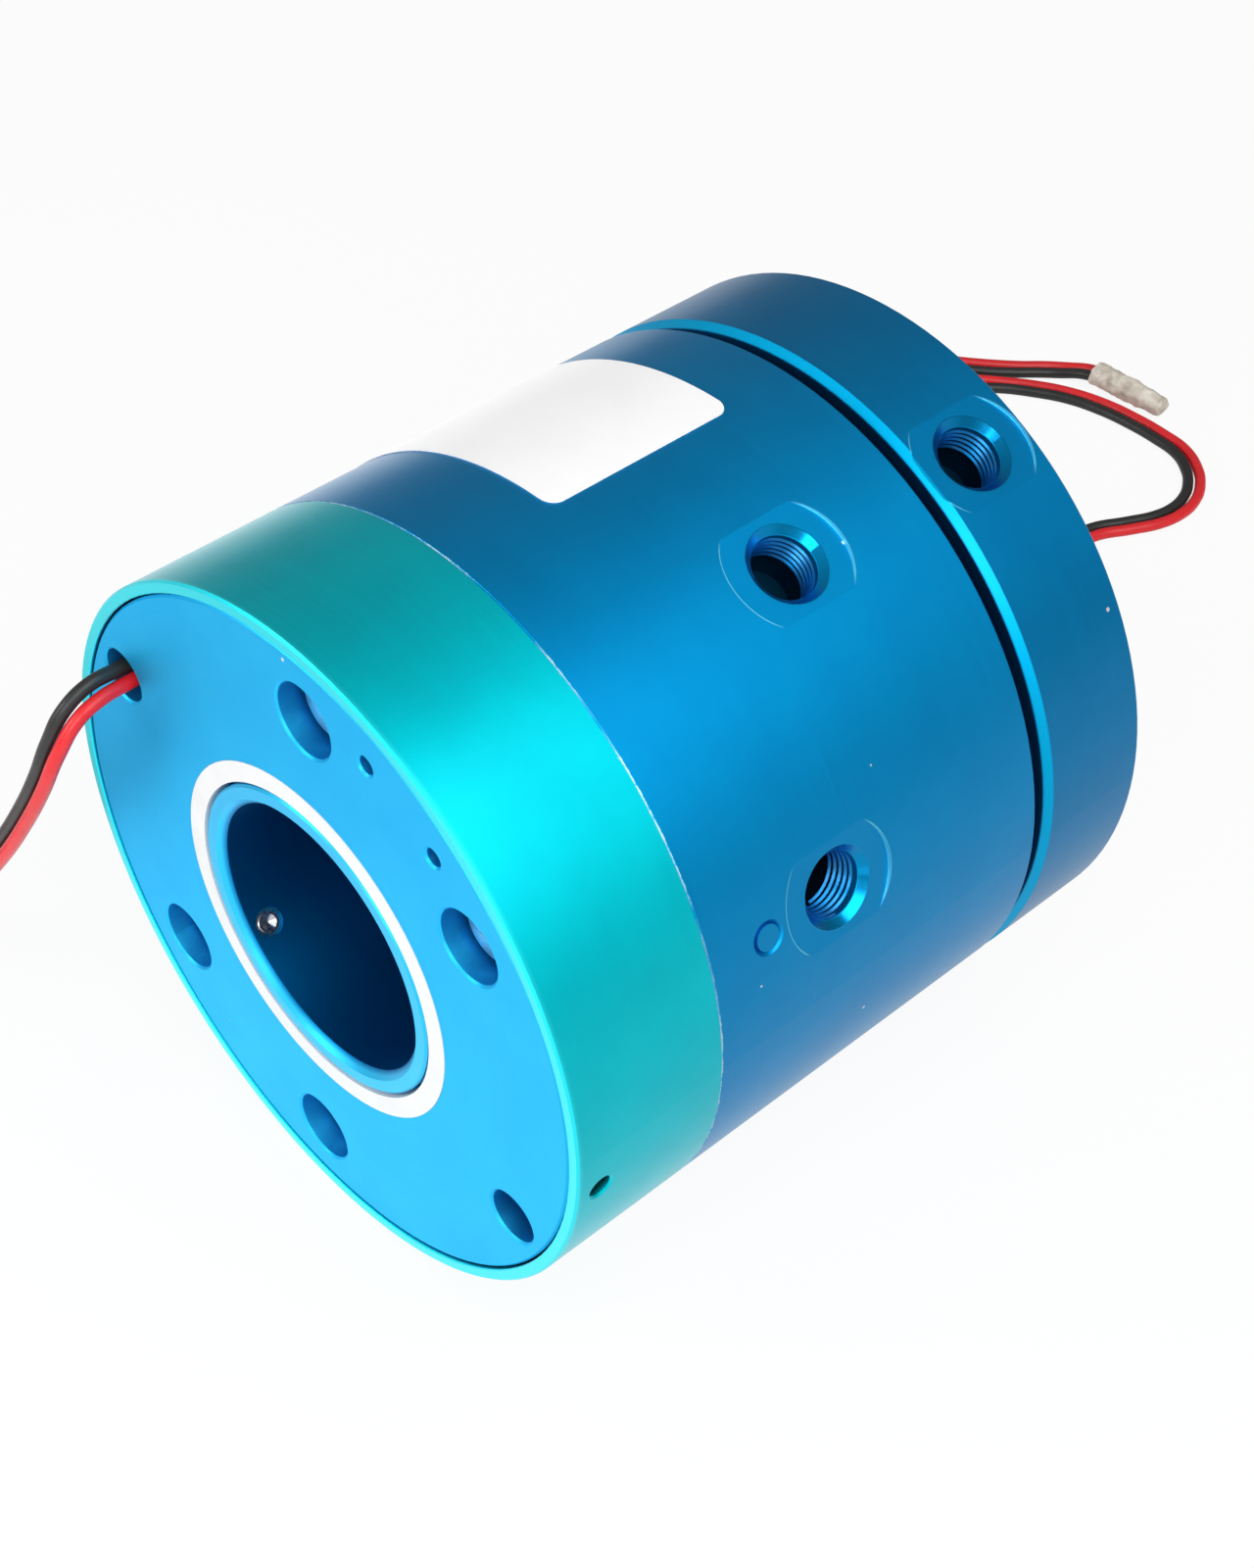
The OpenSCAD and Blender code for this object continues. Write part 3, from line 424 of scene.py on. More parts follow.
there = remap(worn, math_node(worn, "SUBTRACT", gaps, missing), 0.18, 0.3)
worn.links.new(math_node(worn, "MULTIPLY", near, there, clamp=True), outs["Bare"])
print("group made:", worn.name)

# %% [markdown]
# ## Marks of the air ports
# Each port has a flat spot cut round it, a bevelled mouth and a threaded wall. The spot runs out to
# nothing at its sides, so only its two stepped ends have a rim to wear; that pale rim is partly wear and
# partly a painted highlight. The bevel is glossier than the satin skin, and deep in the port the skin
# carries painted shade. All three follow from three distances: how far out from the axis, how far
# sideways from the middle of the hole, and how far from it along the union.

# %% Port group: distances
port_marks, ins, outs = new_group(
    "port marks",
    [("Position", "Vector", None), ("Facing", "Vector", None), ("Along", "Float", 0.0)],
    [("Bare rim", "Float"), ("Deep", "Float"), ("Fresh cut", "Float")],
)
in_mm = vector_node(port_marks, "SCALE", "Vector", {0: ins["Position"], 3: 1000.0})
centre = put(port_marks, "CombineXYZ", {1: ins["Along"]}).outputs[0]
offset = vector_node(port_marks, "SUBTRACT", "Vector", {0: in_mm, 1: centre})
outward = vector_node(port_marks, "DOT_PRODUCT", "Value", {0: offset, 1: ins["Facing"]})
along_hole = vector_node(port_marks, "SCALE", "Vector", {0: ins["Facing"], 3: outward})
sideways = vector_node(port_marks, "DISTANCE", "Value", {0: offset, 1: along_hole})
lengthwise = math_node(port_marks, "ABSOLUTE", put(port_marks, "SeparateXYZ", {0: offset}).outputs[1])
same_side = math_node(port_marks, "GREATER_THAN", outward, 0.0)
print("distances from a port's middle ready")


# %% Port group: marks
def on_this_side(mask, other):
    """Where both masks hold, on the side of the union that the port is on."""
    return math_node(port_marks, "MULTIPLY", math_node(port_marks, "MULTIPLY", mask, other), same_side)


SPOT_RADIUS, MOUTH_RADIUS, PORT_RADIUS = 8.75, 5.4, 4.4
DARK_FROM, DARKEST = 44.8, 43.6
from_rim = math_node(port_marks, "ABSOLUTE", math_node(port_marks, "SUBTRACT", sideways, SPOT_RADIUS))
rim = remap(port_marks, from_rim, 0.12, 0.06)
stepped = remap(port_marks, lengthwise, 5.9, 7.0)
port_marks.links.new(on_this_side(rim, stepped), outs["Bare rim"])
# Painted shade: inside the hole, below DARK_FROM, the skin is painted darker.
inside = remap(port_marks, sideways, PORT_RADIUS + 0.4, PORT_RADIUS + 0.2)
down = remap(port_marks, outward, DARK_FROM, DARKEST)
port_marks.links.new(on_this_side(inside, down), outs["Deep"])
within_mouth = remap(port_marks, sideways, MOUTH_RADIUS + 0.2, MOUTH_RADIUS)
off_wall = remap(port_marks, sideways, PORT_RADIUS + 0.02, PORT_RADIUS + 0.1)
port_marks.links.new(on_this_side(within_mouth, off_wall), outs["Fresh cut"])
print("group made:", port_marks.name)

# %% [markdown]
# ## Dust
# Nothing that lay in a workshop is free of specks. A Voronoi texture scatters one point in each of its
# cells. A dot is drawn round a small share of them, and the cell's own random colour says which ones and
# how large.

# %% Dust group
dust, ins, outs = new_group(
    "dust specks",
    [("Position", "Vector", None), ("Spacing", "Float", 6.0), ("Share", "Float", 0.3)],
    [("Specks", "Float")],
)
per_metre = math_node(dust, "DIVIDE", 1000.0, ins["Spacing"])
cells = put(dust, "TexVoronoi", {"Vector": ins["Position"], "Scale": per_metre}).outputs
lot = put(dust, "SeparateColor", {0: cells["Color"]}).outputs
size = remap(dust, lot[1], 0.0, 1.0, 0.012, 0.055)
dot = math_node(dust, "LESS_THAN", cells["Distance"], size)
picked = math_node(dust, "LESS_THAN", lot[0], ins["Share"])
dust.links.new(math_node(dust, "MULTIPLY", dot, picked), outs["Specks"])
print("group made:", dust.name)

# %% [markdown]
# ## Zones of painted light and shade
# Bores, counterbores, grooves and a screw hole get painted shade in the skin's colour, and a few
# bevelled rims get painted highlights. Such a zone lies within some distance of the axis or beyond some
# place along it, so the group puts out one mask for each way, with a soft start.

# %% Zone group
zone, ins, outs = new_group(
    "painted light zone",
    [("Position", "Vector", None), ("Begins", "Float", 0.0), ("Full at", "Float", 1.0)],
    [("Towards the axis", "Float"), ("Along the axis", "Float")],
)
split = put(zone, "SeparateXYZ", {0: ins["Position"]}).outputs
flat = put(zone, "CombineXYZ", {0: split[0], 2: split[2]}).outputs[0]
from_axis = vector_node(zone, "LENGTH", "Value", {0: flat})
for way, metres in (("Towards the axis", from_axis), ("Along the axis", split[1])):
    place_mm = math_node(zone, "MULTIPLY", metres, 1000.0)
    zone.links.new(remap(zone, place_mm, ins["Begins"], ins["Full at"]), outs[way])
print("group made:", zone.name)

# %% [markdown]
# ## Anodised aluminium
# Anodising grows a hard glassy skin on the metal and dyes it, so light passes through colour twice and
# still comes back as from metal. A metallic surface with a strong colour and a fairly rough sheen gives
# that. On the long round pieces a thin clear coat adds the pale gleam that the sealed skin shows at a
# glancing angle. The dyes of the union, teal, light blue and blue, share one recipe with their own
# colours and edges, and with painted shade in holes and grooves and painted highlights on some rims.

# %% Marks on the skin
BARE_EDGE = (0.5, 0.7, 0.8, 1)
# A spot face's rim: partly bare from wear, partly a painted highlight.
WORN_RIM_AND_HIGHLIGHT = (0.2, 0.75, 0.92, 1)
# Painted shade deep in a port.
PAINTED_DEPTH_SHADE = (0.0, 0.05, 0.10, 1)
SPECK = (0.86, 0.9, 0.93, 1)
SPECK_SHARE = 0.16
CUT_GLOSS = -0.27


def wear(tree, place, skin, edges):
    """The skin with its worn edges (place along the axis in mm, width, how broken) and a few specks."""
    for at, width, broken in edges:
        feeds = {"Position": place, "Edge at": at, "Width": width, "Broken": broken}
        rub = put(tree, "Group", feeds, node_tree=worn)
        skin = blend(tree, rub.outputs["Bare"], skin, BARE_EDGE)
    motes = put(tree, "Group", {"Position": place, "Share": SPECK_SHARE}, node_tree=dust)
    return blend(tree, motes.outputs["Specks"], skin, SPECK)


def mark_ports(tree, place, skin, rough, ports):
    """The skin and its roughness with the marks of its ports (angle, place along the axis in mm), painted
    shade and highlight among them.
    """
    for angle, along in ports:
        lean = math.radians(angle)
        facing = (math.cos(lean), 0, math.sin(lean))
        feeds = {"Position": place, "Facing": facing, "Along": along}
        marks = put(tree, "Group", feeds, node_tree=port_marks).outputs
        skin = blend(tree, marks["Bare rim"], skin, WORN_RIM_AND_HIGHLIGHT)
        skin = blend(tree, marks["Deep"], skin, PAINTED_DEPTH_SHADE)
        rough = math_node(tree, "MULTIPLY_ADD", marks["Fresh cut"], CUT_GLOSS, rough)
    return skin, rough


def paint_light_and_shade(tree, place, skin, zones):
    """The skin with zones of painted shade and highlight (way, where it begins and is full in mm, colour).
    """
    for way, begins, full, colour in zones:
        feeds = {"Position": place, "Begins": begins, "Full at": full}
        depth = put(tree, "Group", feeds, node_tree=zone)
        skin = blend(tree, depth.outputs[way], skin, (*colour, 1))
    return skin


print("marks ready: edges, specks, ports and zones")


# %% Anodised recipe
def new_finish(name):
    """A material with its node tree, its shader and the place on the piece."""
    finish = bpy.data.materials.new(name)
    finish.use_nodes = True
    tree = finish.node_tree
    return finish, tree, tree.nodes["Principled BSDF"], put(tree, "TexCoord").outputs["Object"]


def anodised(
    name, colour, deep, edges=(), zones=(), ports=(), roughness=0.5, clear=0.0, glance=(1, 1, 1),
):
    """Dyed metal between two tones, with its marks and painted light and shade. Glance tints the gleam at
    a low angle.
    """
    finish, tree, shader, place = new_finish(name)
    lines = put(tree, "Group", {"Position": place}, node_tree=turning).outputs["Lines"]
    dye = put(tree, "Group", {"Position": place}, node_tree=mottle).outputs
    spread = math_node(tree, "MULTIPLY", dye["Patches"], 0.65)
    tone = math_node(tree, "MULTIPLY_ADD", lines, 0.35, spread)
    skin = blend(tree, tone, (*deep, 1), (*colour, 1))
    rough = remap(tree, lines, 0.25, 0.75, roughness - 0.05, roughness + 0.05)
    skin = wear(tree, place, skin, edges)
    skin, rough = mark_ports(tree, place, skin, rough, ports)
    skin = paint_light_and_shade(tree, place, skin, zones)
    fine = math_node(tree, "MULTIPLY", dye["Grain"], 0.3)
    height = math_node(tree, "MULTIPLY_ADD", lines, 0.7, fine)
    relief = put(tree, "Bump", {"Strength": 0.12, "Distance": 0.02 * MM, "Height": height})
    feed(tree, shader, {
        "Base Color": skin, "Roughness": rough, "Metallic": 1.0, "Normal": relief.outputs[0],
        "Specular Tint": (*glance, 1), "Coat Weight": clear, "Coat IOR": 1.13, "Coat Roughness": 0.25,
    })
    return finish


print("anodised recipe ready")


# %% Anodised pieces
def dress(finish, *pieces):
    for piece in pieces:
        mesh = bpy.data.objects[piece].data
        mesh.materials.clear()
        mesh.materials.append(finish)


JOINT = -26.75
PORT_ONE, PORT_TWO = (17, -5.65), (61, 7.55)
FLANGE_PORT, FLANGE_PORT_FAR = (61, 40.45), (241, 40.45)
# Painted shade in the groove between the body and the rear flange, on both of its faces.
PAINTED_GROOVE_SHADE = (0.0, 0.17, 0.40)
teal = anodised(
    "anodised_teal_skin", (0.0, 0.73, 0.84), (0.0, 0.63, 0.74), edges=[(JOINT, 0.13, 0.5)], clear=1.0,
    zones=[
        # Painted shade in the grub screw's hole.
        ("Towards the axis", 49.3, 48.6, (0.0, 0.13, 0.16)),
        # Painted highlight on the front rim.
        ("Along the axis", -48.9, -49.5, (0.02, 0.82, 0.92)),
    ],
)
light_blue = anodised(
    "anodised_light_blue_skin", (0.03, 0.57, 0.96), (0.02, 0.51, 0.92), glance=(0.7, 0.88, 1.0),
    # Painted shade on the walls of the counterbores and holes in the front face.
    zones=[("Along the axis", -49.3, -46.5, (0.01, 0.28, 0.66))],
)
blue = anodised(
    "anodised_blue_skin", (0.0, 0.345, 0.72), (0.0, 0.30, 0.66), edges=[(JOINT, 0.11, 0.55)], clear=1.0,
    zones=[("Along the axis", 29.1, 29.2, PAINTED_GROOVE_SHADE)], ports=[PORT_ONE, PORT_TWO],
)
flange_blue = anodised(
    "anodised_flange_skin", (0.0, 0.28, 0.60), (0.0, 0.24, 0.54), clear=1.0,
    zones=[
        # Painted highlight on the flange's front bevel.
        ("Along the axis", 32.75, 32.55, (0.0, 0.50, 0.88)),
        ("Along the axis", 31.8, 31.7, PAINTED_GROOVE_SHADE),
    ],
    ports=[FLANGE_PORT, FLANGE_PORT_FAR],
)
shaft_blue = anodised(
    "anodised_shaft_skin", (0.04, 0.60, 0.96), (0.03, 0.54, 0.92), roughness=0.45,
    # Painted shade in the bore.
    zones=[("Towards the axis", 19.6, 19.1, (0.0, 0.18, 0.46))],
)
dress(teal, "slip_ring_housing")
dress(light_blue, "front_cover")
dress(blue, "port_body", "flush_plug")
dress(flange_blue, "rear_flange")
dress(shaft_blue, "rotor_shaft")
print("anodised pieces dressed")

# %% [markdown]
# ## Steel, brass and black oxide
# The cap screws are bright steel, the set screws darker with ground points, the bearings ground steel
# with brass cages, the contacts plated, and the circlips and grub screws blackened. The threads in the
# ports have a glossier blue than the skin round them, painted darker as shade in the hole. These differ
# in colour and sheen, but all carry fine scratches, so one recipe serves.


# %% Metal recipe
def bare_metal(name, colour, shade, roughness):
    finish, tree, shader, place = new_finish(name)
    scratches = put(tree, "Group", {"Position": place, "Rings per mm": 9.0}, node_tree=turning)
    dye = put(tree, "Group", {"Position": place, "Patch size": 3.0}, node_tree=mottle).outputs
    tone = blend(tree, dye["Patches"], (*shade, 1), (*colour, 1))
    rough = remap(tree, dye["Grain"], 0.3, 0.7, roughness - 0.06, roughness + 0.08)
    relief = put(tree, "Bump", {
        "Strength": 0.1, "Distance": 0.02 * MM, "Height": scratches.outputs["Lines"],
    })
    feed(tree, shader, {
        "Base Color": tone, "Roughness": rough, "Metallic": 1.0, "Normal": relief.outputs[0],
    })
    return finish


print("metal recipe ready")

# %% Metal pieces
steel = bare_metal("screw_steel_bright", (0.88, 0.88, 0.89), (0.70, 0.71, 0.72), 0.36)
point_steel = bare_metal("set_screw_steel_ground", (0.72, 0.73, 0.74), (0.52, 0.53, 0.55), 0.28)
bearing_steel = bare_metal("bearing_steel_ground", (0.66, 0.67, 0.68), (0.55, 0.56, 0.58), 0.18)
black_steel = bare_metal("black_steel_oxide", (0.11, 0.11, 0.115), (0.06, 0.06, 0.063), 0.36)
brass = bare_metal("cage_brass_drawn", (0.72, 0.52, 0.22), (0.58, 0.4, 0.15), 0.3)
contact = bare_metal("contact_metal_plated", (0.85, 0.66, 0.3), (0.74, 0.55, 0.22), 0.22)
# Painted shade: the threads deep in the ports are coloured darker than the skin round them.
thread_skin = bare_metal("thread_darker_blue_painted_shade", (0.04, 0.25, 0.56), (0.0, 0.17, 0.44), 0.36)
dress(steel, "cover_screws", "flange_screws")
dress(point_steel, "shaft_set_screws")
dress(bearing_steel, "front_bearing_outer", "front_bearing_inner", "front_bearing_balls")
dress(bearing_steel, "rear_bearing_outer", "rear_bearing_inner", "rear_bearing_balls")
dress(black_steel, "housing_screws", "body_circlip", "shaft_circlip")
dress(brass, "front_bearing_cage", "rear_bearing_cage")
dress(contact, "contact_rings", "brushes")
print("metal pieces dressed")

# %% [markdown]
# ## Plastics, rubber and paper
# The white dust ring and the air seals are a soft sliding polymer, the O-rings are rubber, and the brush
# block and the sleeve under the contact rings are moulded. None of them is metal, so their look is a
# colour, a sheen and a fine grain. The leads' insulation, the label's film and the paper tape come from
# the same recipe.


# %% Moulded recipe
def moulded(name, colour, shade, roughness, grain=0.15, patch=4.0, sheen=0.0):
    finish, tree, shader, place = new_finish(name)
    dye = put(tree, "Group", {"Position": place, "Patch size": patch}, node_tree=mottle).outputs
    tone = blend(tree, dye["Patches"], (*shade, 1), (*colour, 1))
    rough = remap(tree, dye["Grain"], 0.3, 0.7, roughness - 0.05, roughness + 0.07)
    relief = put(tree, "Bump", {"Strength": grain, "Distance": 0.03 * MM, "Height": dye["Grain"]})
    feed(tree, shader, {
        "Base Color": tone, "Roughness": rough, "Sheen Weight": sheen, "Normal": relief.outputs[0],
    })
    return finish


print("moulded recipe ready")

# %% Moulded pieces
white_polymer = moulded("white_polymer_sliding", (0.79, 0.80, 0.80), (0.74, 0.75, 0.75), 0.45)
rubber = moulded("black_rubber_ring", (0.02, 0.02, 0.02), (0.012, 0.012, 0.012), 0.6)
insulator = moulded("insulator_moulded", (0.16, 0.10, 0.06), (0.11, 0.07, 0.04), 0.5)
label_film = moulded(
    "label_white_film", (0.95, 0.95, 0.95), (0.91, 0.91, 0.92), 0.34, grain=0.08, patch=7.0, sheen=1.0,
)
red_pvc = moulded(
    "wire_red_insulation", (0.80, 0.016, 0.022), (0.68, 0.012, 0.018), 0.36, grain=0.06, patch=5.0,
)
black_pvc = moulded(
    "wire_black_insulation", (0.022, 0.022, 0.021), (0.014, 0.014, 0.014), 0.4, grain=0.06, patch=5.0,
)
crepe = moulded(
    "tape_beige_crepe", (0.86, 0.80, 0.70), (0.46, 0.40, 0.32), 0.7, grain=0.5, patch=2.2,
)
dress(white_polymer, "dust_ring", "air_seals")
dress(rubber, "seal_orings", "flange_orings")
dress(insulator, "brush_block", "ring_sleeve")
dress(label_film, "label")
print("moulded pieces dressed")

# %% [markdown]
# ## Helpers for shaping
# By hand, a piece is shaped by selecting some of its points, edges or faces and then using an operator
# on them. In a script they are selected by their place or direction instead. A finished piece has its
# place in its mesh and its object at the origin, and what repeats is copied, each copy with a mesh of
# its own.


# %% Selecting by place
def pick(piece, kind, chosen):
    """Goes into edit mode with those points, edges or faces selected for which chosen holds."""
    bpy.ops.object.mode_set(mode="EDIT")
    bpy.ops.mesh.select_mode(type=kind)
    bpy.ops.mesh.select_all(action="DESELECT")
    bpy.ops.object.mode_set(mode="OBJECT")
    mesh = piece.data
    for part in {"VERT": mesh.vertices, "EDGE": mesh.edges, "FACE": mesh.polygons}[kind]:
        part.select = chosen(part)
    bpy.ops.object.mode_set(mode="EDIT")


def lies_along(piece, axis):
    """A test for pick: whether an edge goes further than 1 mm along the axis 0, 1 or 2."""
    def long_enough(edge):
        first, last = (piece.data.vertices[i].co for i in edge.vertices)
        return abs(first[axis] - last[axis]) > 1 * MM
    return long_enough


print("selecting by place ready")


# %% Settling and copying
def take(piece):
    """Selects one piece alone."""
    bpy.ops.object.select_all(action="DESELECT")
    piece.select_set(True)
    bpy.context.view_layer.objects.active = piece


def settle(piece):
    """Puts a piece's place, turn and scale into its mesh."""
    take(piece)
    bpy.ops.object.transform_apply(location=True, rotation=True, scale=True)


def copy_of(piece, name):
    take(piece)
    bpy.ops.object.duplicate(linked=False)
    twin = bpy.context.object
    twin.name = name
    return twin


print("settling and copying ready")

# %% [markdown]
# ## Threads in the air ports
# An air fitting screws into each port, so its wall carries a pipe thread of 28 turns to the inch. The
# CAD model leaves the wall plain. Here the section of the ridge is drawn once: a small upright plane
# whose inner side is squeezed to a narrow crest. Only its outline is kept, and the Screw modifier
# carries it round and up. The ends are then filled.

# %% Section of the ridge
PITCH = 25.4 / 28
WALL, CREST = 4.42, 4.17
middle = (WALL + CREST) / 2 * MM
bpy.ops.object.select_all(action="DESELECT")
bpy.ops.mesh.primitive_plane_add(size=1 * MM, location=(middle, 0, 0), rotation=(math.pi / 2, 0, 0))
ridge = bpy.context.object
settle(ridge)
bpy.ops.object.mode_set(mode="EDIT")
bpy.ops.mesh.select_all(action="SELECT")
bpy.ops.transform.resize(value=(WALL - CREST, 1, 0.8 * PITCH), center_override=(middle, 0, 0))
pick(ridge, "VERT", lambda point: point.co.x < middle)
bpy.ops.transform.resize(value=(1, 1, 0.2), center_override=(middle, 0, 0))
bpy.ops.mesh.select_all(action="SELECT")
bpy.ops.mesh.delete(type="ONLY_FACE")
bpy.ops.object.mode_set(mode="OBJECT")
print("ridge stands", round(WALL - CREST, 2), "mm off the wall")

# %% One thread
TURNS = 5
winding = ridge.modifiers.new("winding", "SCREW")
winding.screw_offset = PITCH * MM
winding.iterations = TURNS
winding.steps = winding.render_steps = 40
bpy.ops.object.modifier_apply(modifier="winding")
bpy.ops.object.mode_set(mode="EDIT")
bpy.ops.mesh.select_all(action="SELECT")
bpy.ops.mesh.remove_doubles(threshold=0.002 * MM)
bpy.ops.mesh.fill_holes(sides=4)
bpy.ops.mesh.normals_make_consistent(inside=False)
bpy.ops.object.mode_set(mode="OBJECT")
bpy.ops.object.shade_smooth_by_angle(angle=math.radians(35))
ridge.data.materials.append(thread_skin)
print("thread of", TURNS, "turns,", len(ridge.data.polygons), "faces")

# %% A thread in each port
THREAD_FOOT = 43.0
for name, (angle, along), body in (
    ("thread_port_one", PORT_ONE, "stator"), ("thread_port_two", PORT_TWO, "stator"),
    ("thread_flange_port", FLANGE_PORT, "rotor"), ("thread_flange_port_far", FLANGE_PORT_FAR, "rotor"),
):
    thread = copy_of(ridge, name)
    lean = math.radians(angle)
    thread.location = Vector((THREAD_FOOT * math.cos(lean), along, THREAD_FOOT * math.sin(lean))) * MM
    thread.rotation_euler = (0, math.pi / 2 - lean, 0)
    settle(thread)
    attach(thread, body)
    print(name, "rides on the", body)
bpy.data.objects.remove(ridge)

# %% [markdown]
# ## The tape on the rear leads
# The ends of the rear leads are wrapped in paper tape that was pressed flat by hand and crumpled. It
# starts as a cylinder at the origin, where shaping is easy. Cuts across its length give it enough points
# to wrinkle, a taper draws in its free end, and two Displace modifiers push it in: a broad one for the
# pressed hollows, a fine one for the creases. It is then laid where the CAD model has it.

# %% Roll of tape
TAPE_LENGTH, TAPE_RADIUS = 17, 2.78
TAPE_END = TAPE_LENGTH / 2 - 0.1
bpy.ops.object.select_all(action="DESELECT")
bpy.ops.mesh.primitive_cylinder_add(vertices=40, radius=TAPE_RADIUS * MM, depth=TAPE_LENGTH * MM)
tape = bpy.context.object
tape.name = "creased_tape"
pick(tape, "EDGE", lies_along(tape, 2))
bpy.ops.mesh.subdivide(number_cuts=30)
pick(tape, "FACE", lambda face: abs(face.normal.z) > 0.9)
for ring in range(4):
    bpy.ops.mesh.inset(thickness=0.5 * MM, use_individual=True)
pick(tape, "VERT", lambda point: abs(point.co.z) > TAPE_END * MM)
bpy.ops.transform.resize(value=(0.7, 0.85, 1), center_override=(0, 0, 0))
bpy.ops.object.mode_set(mode="OBJECT")
print("roll of tape with", len(tape.data.polygons), "faces")

# %% Tape creased
drawn_in = tape.modifiers.new("drawn_in", "SIMPLE_DEFORM")
drawn_in.deform_method = "TAPER"
drawn_in.deform_axis = "Z"
drawn_in.factor = -0.2
drawn_in.limits = (0.55, 1.0)
bpy.ops.object.modifier_apply(modifier="drawn_in")
for title, kind, size, push in (("pressed", "CLOUDS", 3.0, 0.5), ("creased", "STUCCI", 1.2, 0.4)):
    wrinkles = bpy.data.textures.new(title, kind)
    wrinkles.noise_scale = size * MM
    dent = tape.modifiers.new(title, "DISPLACE")
    dent.texture = wrinkles
    dent.strength = push * MM
    dent.mid_level = 1.0
    bpy.ops.object.modifier_apply(modifier=title)
print("tape is", round(tape.dimensions.z / MM, 1), "mm long")

# %% Tape in its place
TAPE_FOOT = Vector((-56, 176.6, -46.7))
TAPE_TURN = math.radians(1)
run = Vector((math.cos(TAPE_TURN), math.sin(TAPE_TURN), 0))
tape.location = (TAPE_FOOT + run * TAPE_LENGTH / 2) * MM
tape.rotation_euler = (0, math.pi / 2, TAPE_TURN)
settle(tape)
bpy.ops.object.shade_smooth_by_angle(angle=math.radians(50))
tape.data.materials.append(crepe)
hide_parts("lead_tape")
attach(tape, "rotor")
print("tape in place on the rear leads")

# %% [markdown]
# ## The tie on the coil
# A nylon tie holds the front leads' coil together. Its band goes round the stacked turns, so it starts
# as a block of the stack's size. Its two open sides are taken away, its four long edges rounded, and
# Solidify gives it the thickness of a real tie. A block on top, bevelled, is the lock that the band runs
# through.

# %% Band of the tie
STACK = (4.5, 2.4, 6.6)
bpy.ops.object.select_all(action="DESELECT")
bpy.ops.mesh.primitive_cube_add(size=1 * MM)
tie = bpy.context.object
tie.name = "coil_tie"
tie.scale = STACK
settle(tie)
pick(tie, "FACE", lambda face: abs(face.normal.y) > 0.9)
bpy.ops.mesh.delete(type="FACE")
pick(tie, "EDGE", lies_along(tie, 1))
bpy.ops.mesh.bevel(offset=1.2 * MM, segments=5)
bpy.ops.object.mode_set(mode="OBJECT")
wall = tie.modifiers.new("wall", "SOLIDIFY")
wall.thickness = 0.45 * MM
wall.offset = 1.0
bpy.ops.object.modifier_apply(modifier="wall")
print("band of", len(tie.data.polygons), "faces")

# %% Lock of the tie
LOCK_SIZE = (3.0, 3.2, 1.6)
LOCK_HEIGHT = 4.1
bpy.ops.object.select_all(action="DESELECT")
bpy.ops.mesh.primitive_cube_add(size=1 * MM, location=(0, 0, LOCK_HEIGHT * MM))
lock = bpy.context.object
lock.scale = LOCK_SIZE
settle(lock)
pick(lock, "EDGE", lambda edge: True)
bpy.ops.mesh.bevel(offset=0.3 * MM, segments=3, affect="EDGES")
pick(lock, "FACE", lambda face: face.normal.x > 0.99)
bpy.ops.mesh.inset(thickness=0.35 * MM)
bpy.ops.mesh.extrude_region_move(TRANSFORM_OT_translate={"value": (-0.8 * MM, 0, 0)})
bpy.ops.object.mode_set(mode="OBJECT")
print("lock of", len(lock.data.polygons), "faces, with a recess in one side")

# %% Tie joined and in its place
TIE_MIDDLE = Vector((COIL_CENTRE[0] + (RED_COIL + BLACK_COIL) / 2, COIL_CENTRE[1], -44.4))
take(tie)
lock.select_set(True)
bpy.ops.object.join()
tie.location = TIE_MIDDLE * MM
settle(tie)
bpy.ops.object.shade_smooth_by_angle(angle=math.radians(35))
tie.data.materials.append(white_polymer)
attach(tie, "stator")
print("tie of", len(tie.data.polygons), "faces")

# %% [markdown]
# ## The leads' bare ends
# The front leads end in a few millimetres of tinned strands, twisted together. A thin cylinder with
# every second edge of its round drawn in has the lobes of a bundle of strands, and a Simple Deform
# modifier twists it.

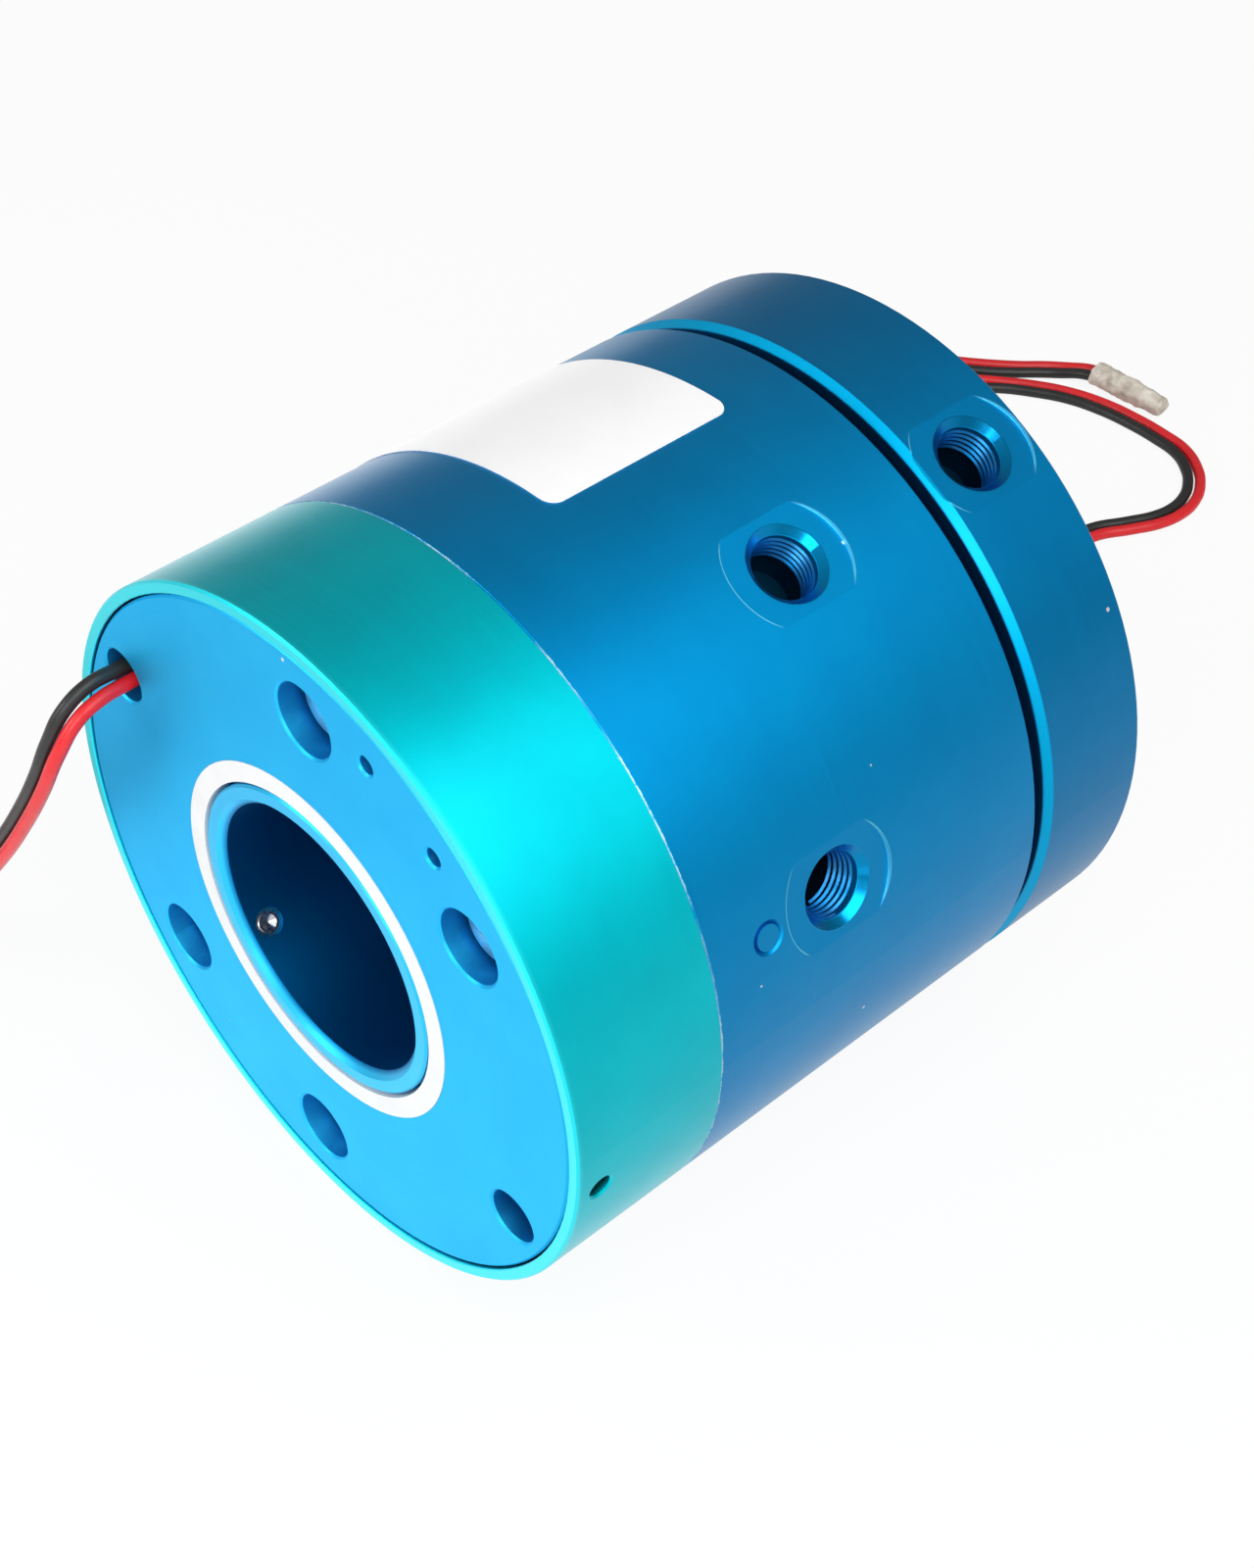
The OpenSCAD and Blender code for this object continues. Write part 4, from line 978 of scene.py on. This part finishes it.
# %% Twisted strands
LOBES = 7
STRAND_LENGTH = 5
bpy.ops.object.select_all(action="DESELECT")
bpy.ops.mesh.primitive_cylinder_add(vertices=2 * LOBES, radius=0.5 * MM, depth=STRAND_LENGTH * MM)
strands = bpy.context.object
pick(strands, "EDGE", lies_along(strands, 2))
bpy.ops.mesh.subdivide(number_cuts=16)


def between_lobes(point):
    turn = math.atan2(point.co.x, point.co.y) / math.tau
    return round(turn * 2 * LOBES) % 2 == 1


pick(strands, "VERT", between_lobes)
bpy.ops.transform.resize(value=(0.78, 0.78, 1), center_override=(0, 0, 0))
bpy.ops.object.mode_set(mode="OBJECT")
twist = strands.modifiers.new("twist", "SIMPLE_DEFORM")
twist.deform_method = "TWIST"
twist.deform_axis = "Z"
twist.angle = math.radians(240)
bpy.ops.object.modifier_apply(modifier="twist")
bpy.ops.object.shade_smooth_by_angle(angle=math.radians(70))
strands.data.materials.append(steel)
print("strands of", len(strands.data.polygons), "faces")

# %% Tinned ends
TUCKED_IN = 0.3
tips = {}
for name, lead in (("tinned_end_red", front_red), ("tinned_end_black", front_black)):
    tip = copy_of(strands, name)
    last = lead.data.splines[0].bezier_points[-1]
    heading = (last.co - last.handle_left).normalized()
    tip.location = last.co + heading * (STRAND_LENGTH / 2 - TUCKED_IN) * MM
    tip.rotation_euler = heading.to_track_quat("Z", "Y").to_euler()
    settle(tip)
    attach(tip, "stator")
    tips[lead] = tip
bpy.data.objects.remove(strands)
print("tinned ends:", [tip.name for tip in tips.values()])

# %% [markdown]
# ## What the leads are
# Each lead stands for its CAD solid and moves with the body that it leaves: the front pair with the part
# that stands still, the rear pair with the part that turns. A lead this thin is limp.

# %% Leads dressed and attached
for lead, finish, body, slot, solids, on_it in (
    (front_red, red_pvc, "stator", "wire_red", ("front_lead_red", "front_lead_coil"),
     [tie, tips[front_red]]),
    (front_black, black_pvc, "stator", "wire_black", ("front_lead_black",), [tips[front_black]]),
    (rear_red, red_pvc, "rotor", "wire_red", ("rear_lead_red",), [tape]),
    (rear_black, black_pvc, "rotor", "wire_black", ("rear_lead_black",), []),
):
    lead.data.materials.append(finish)
    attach(lead, body)
    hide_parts(*solids)
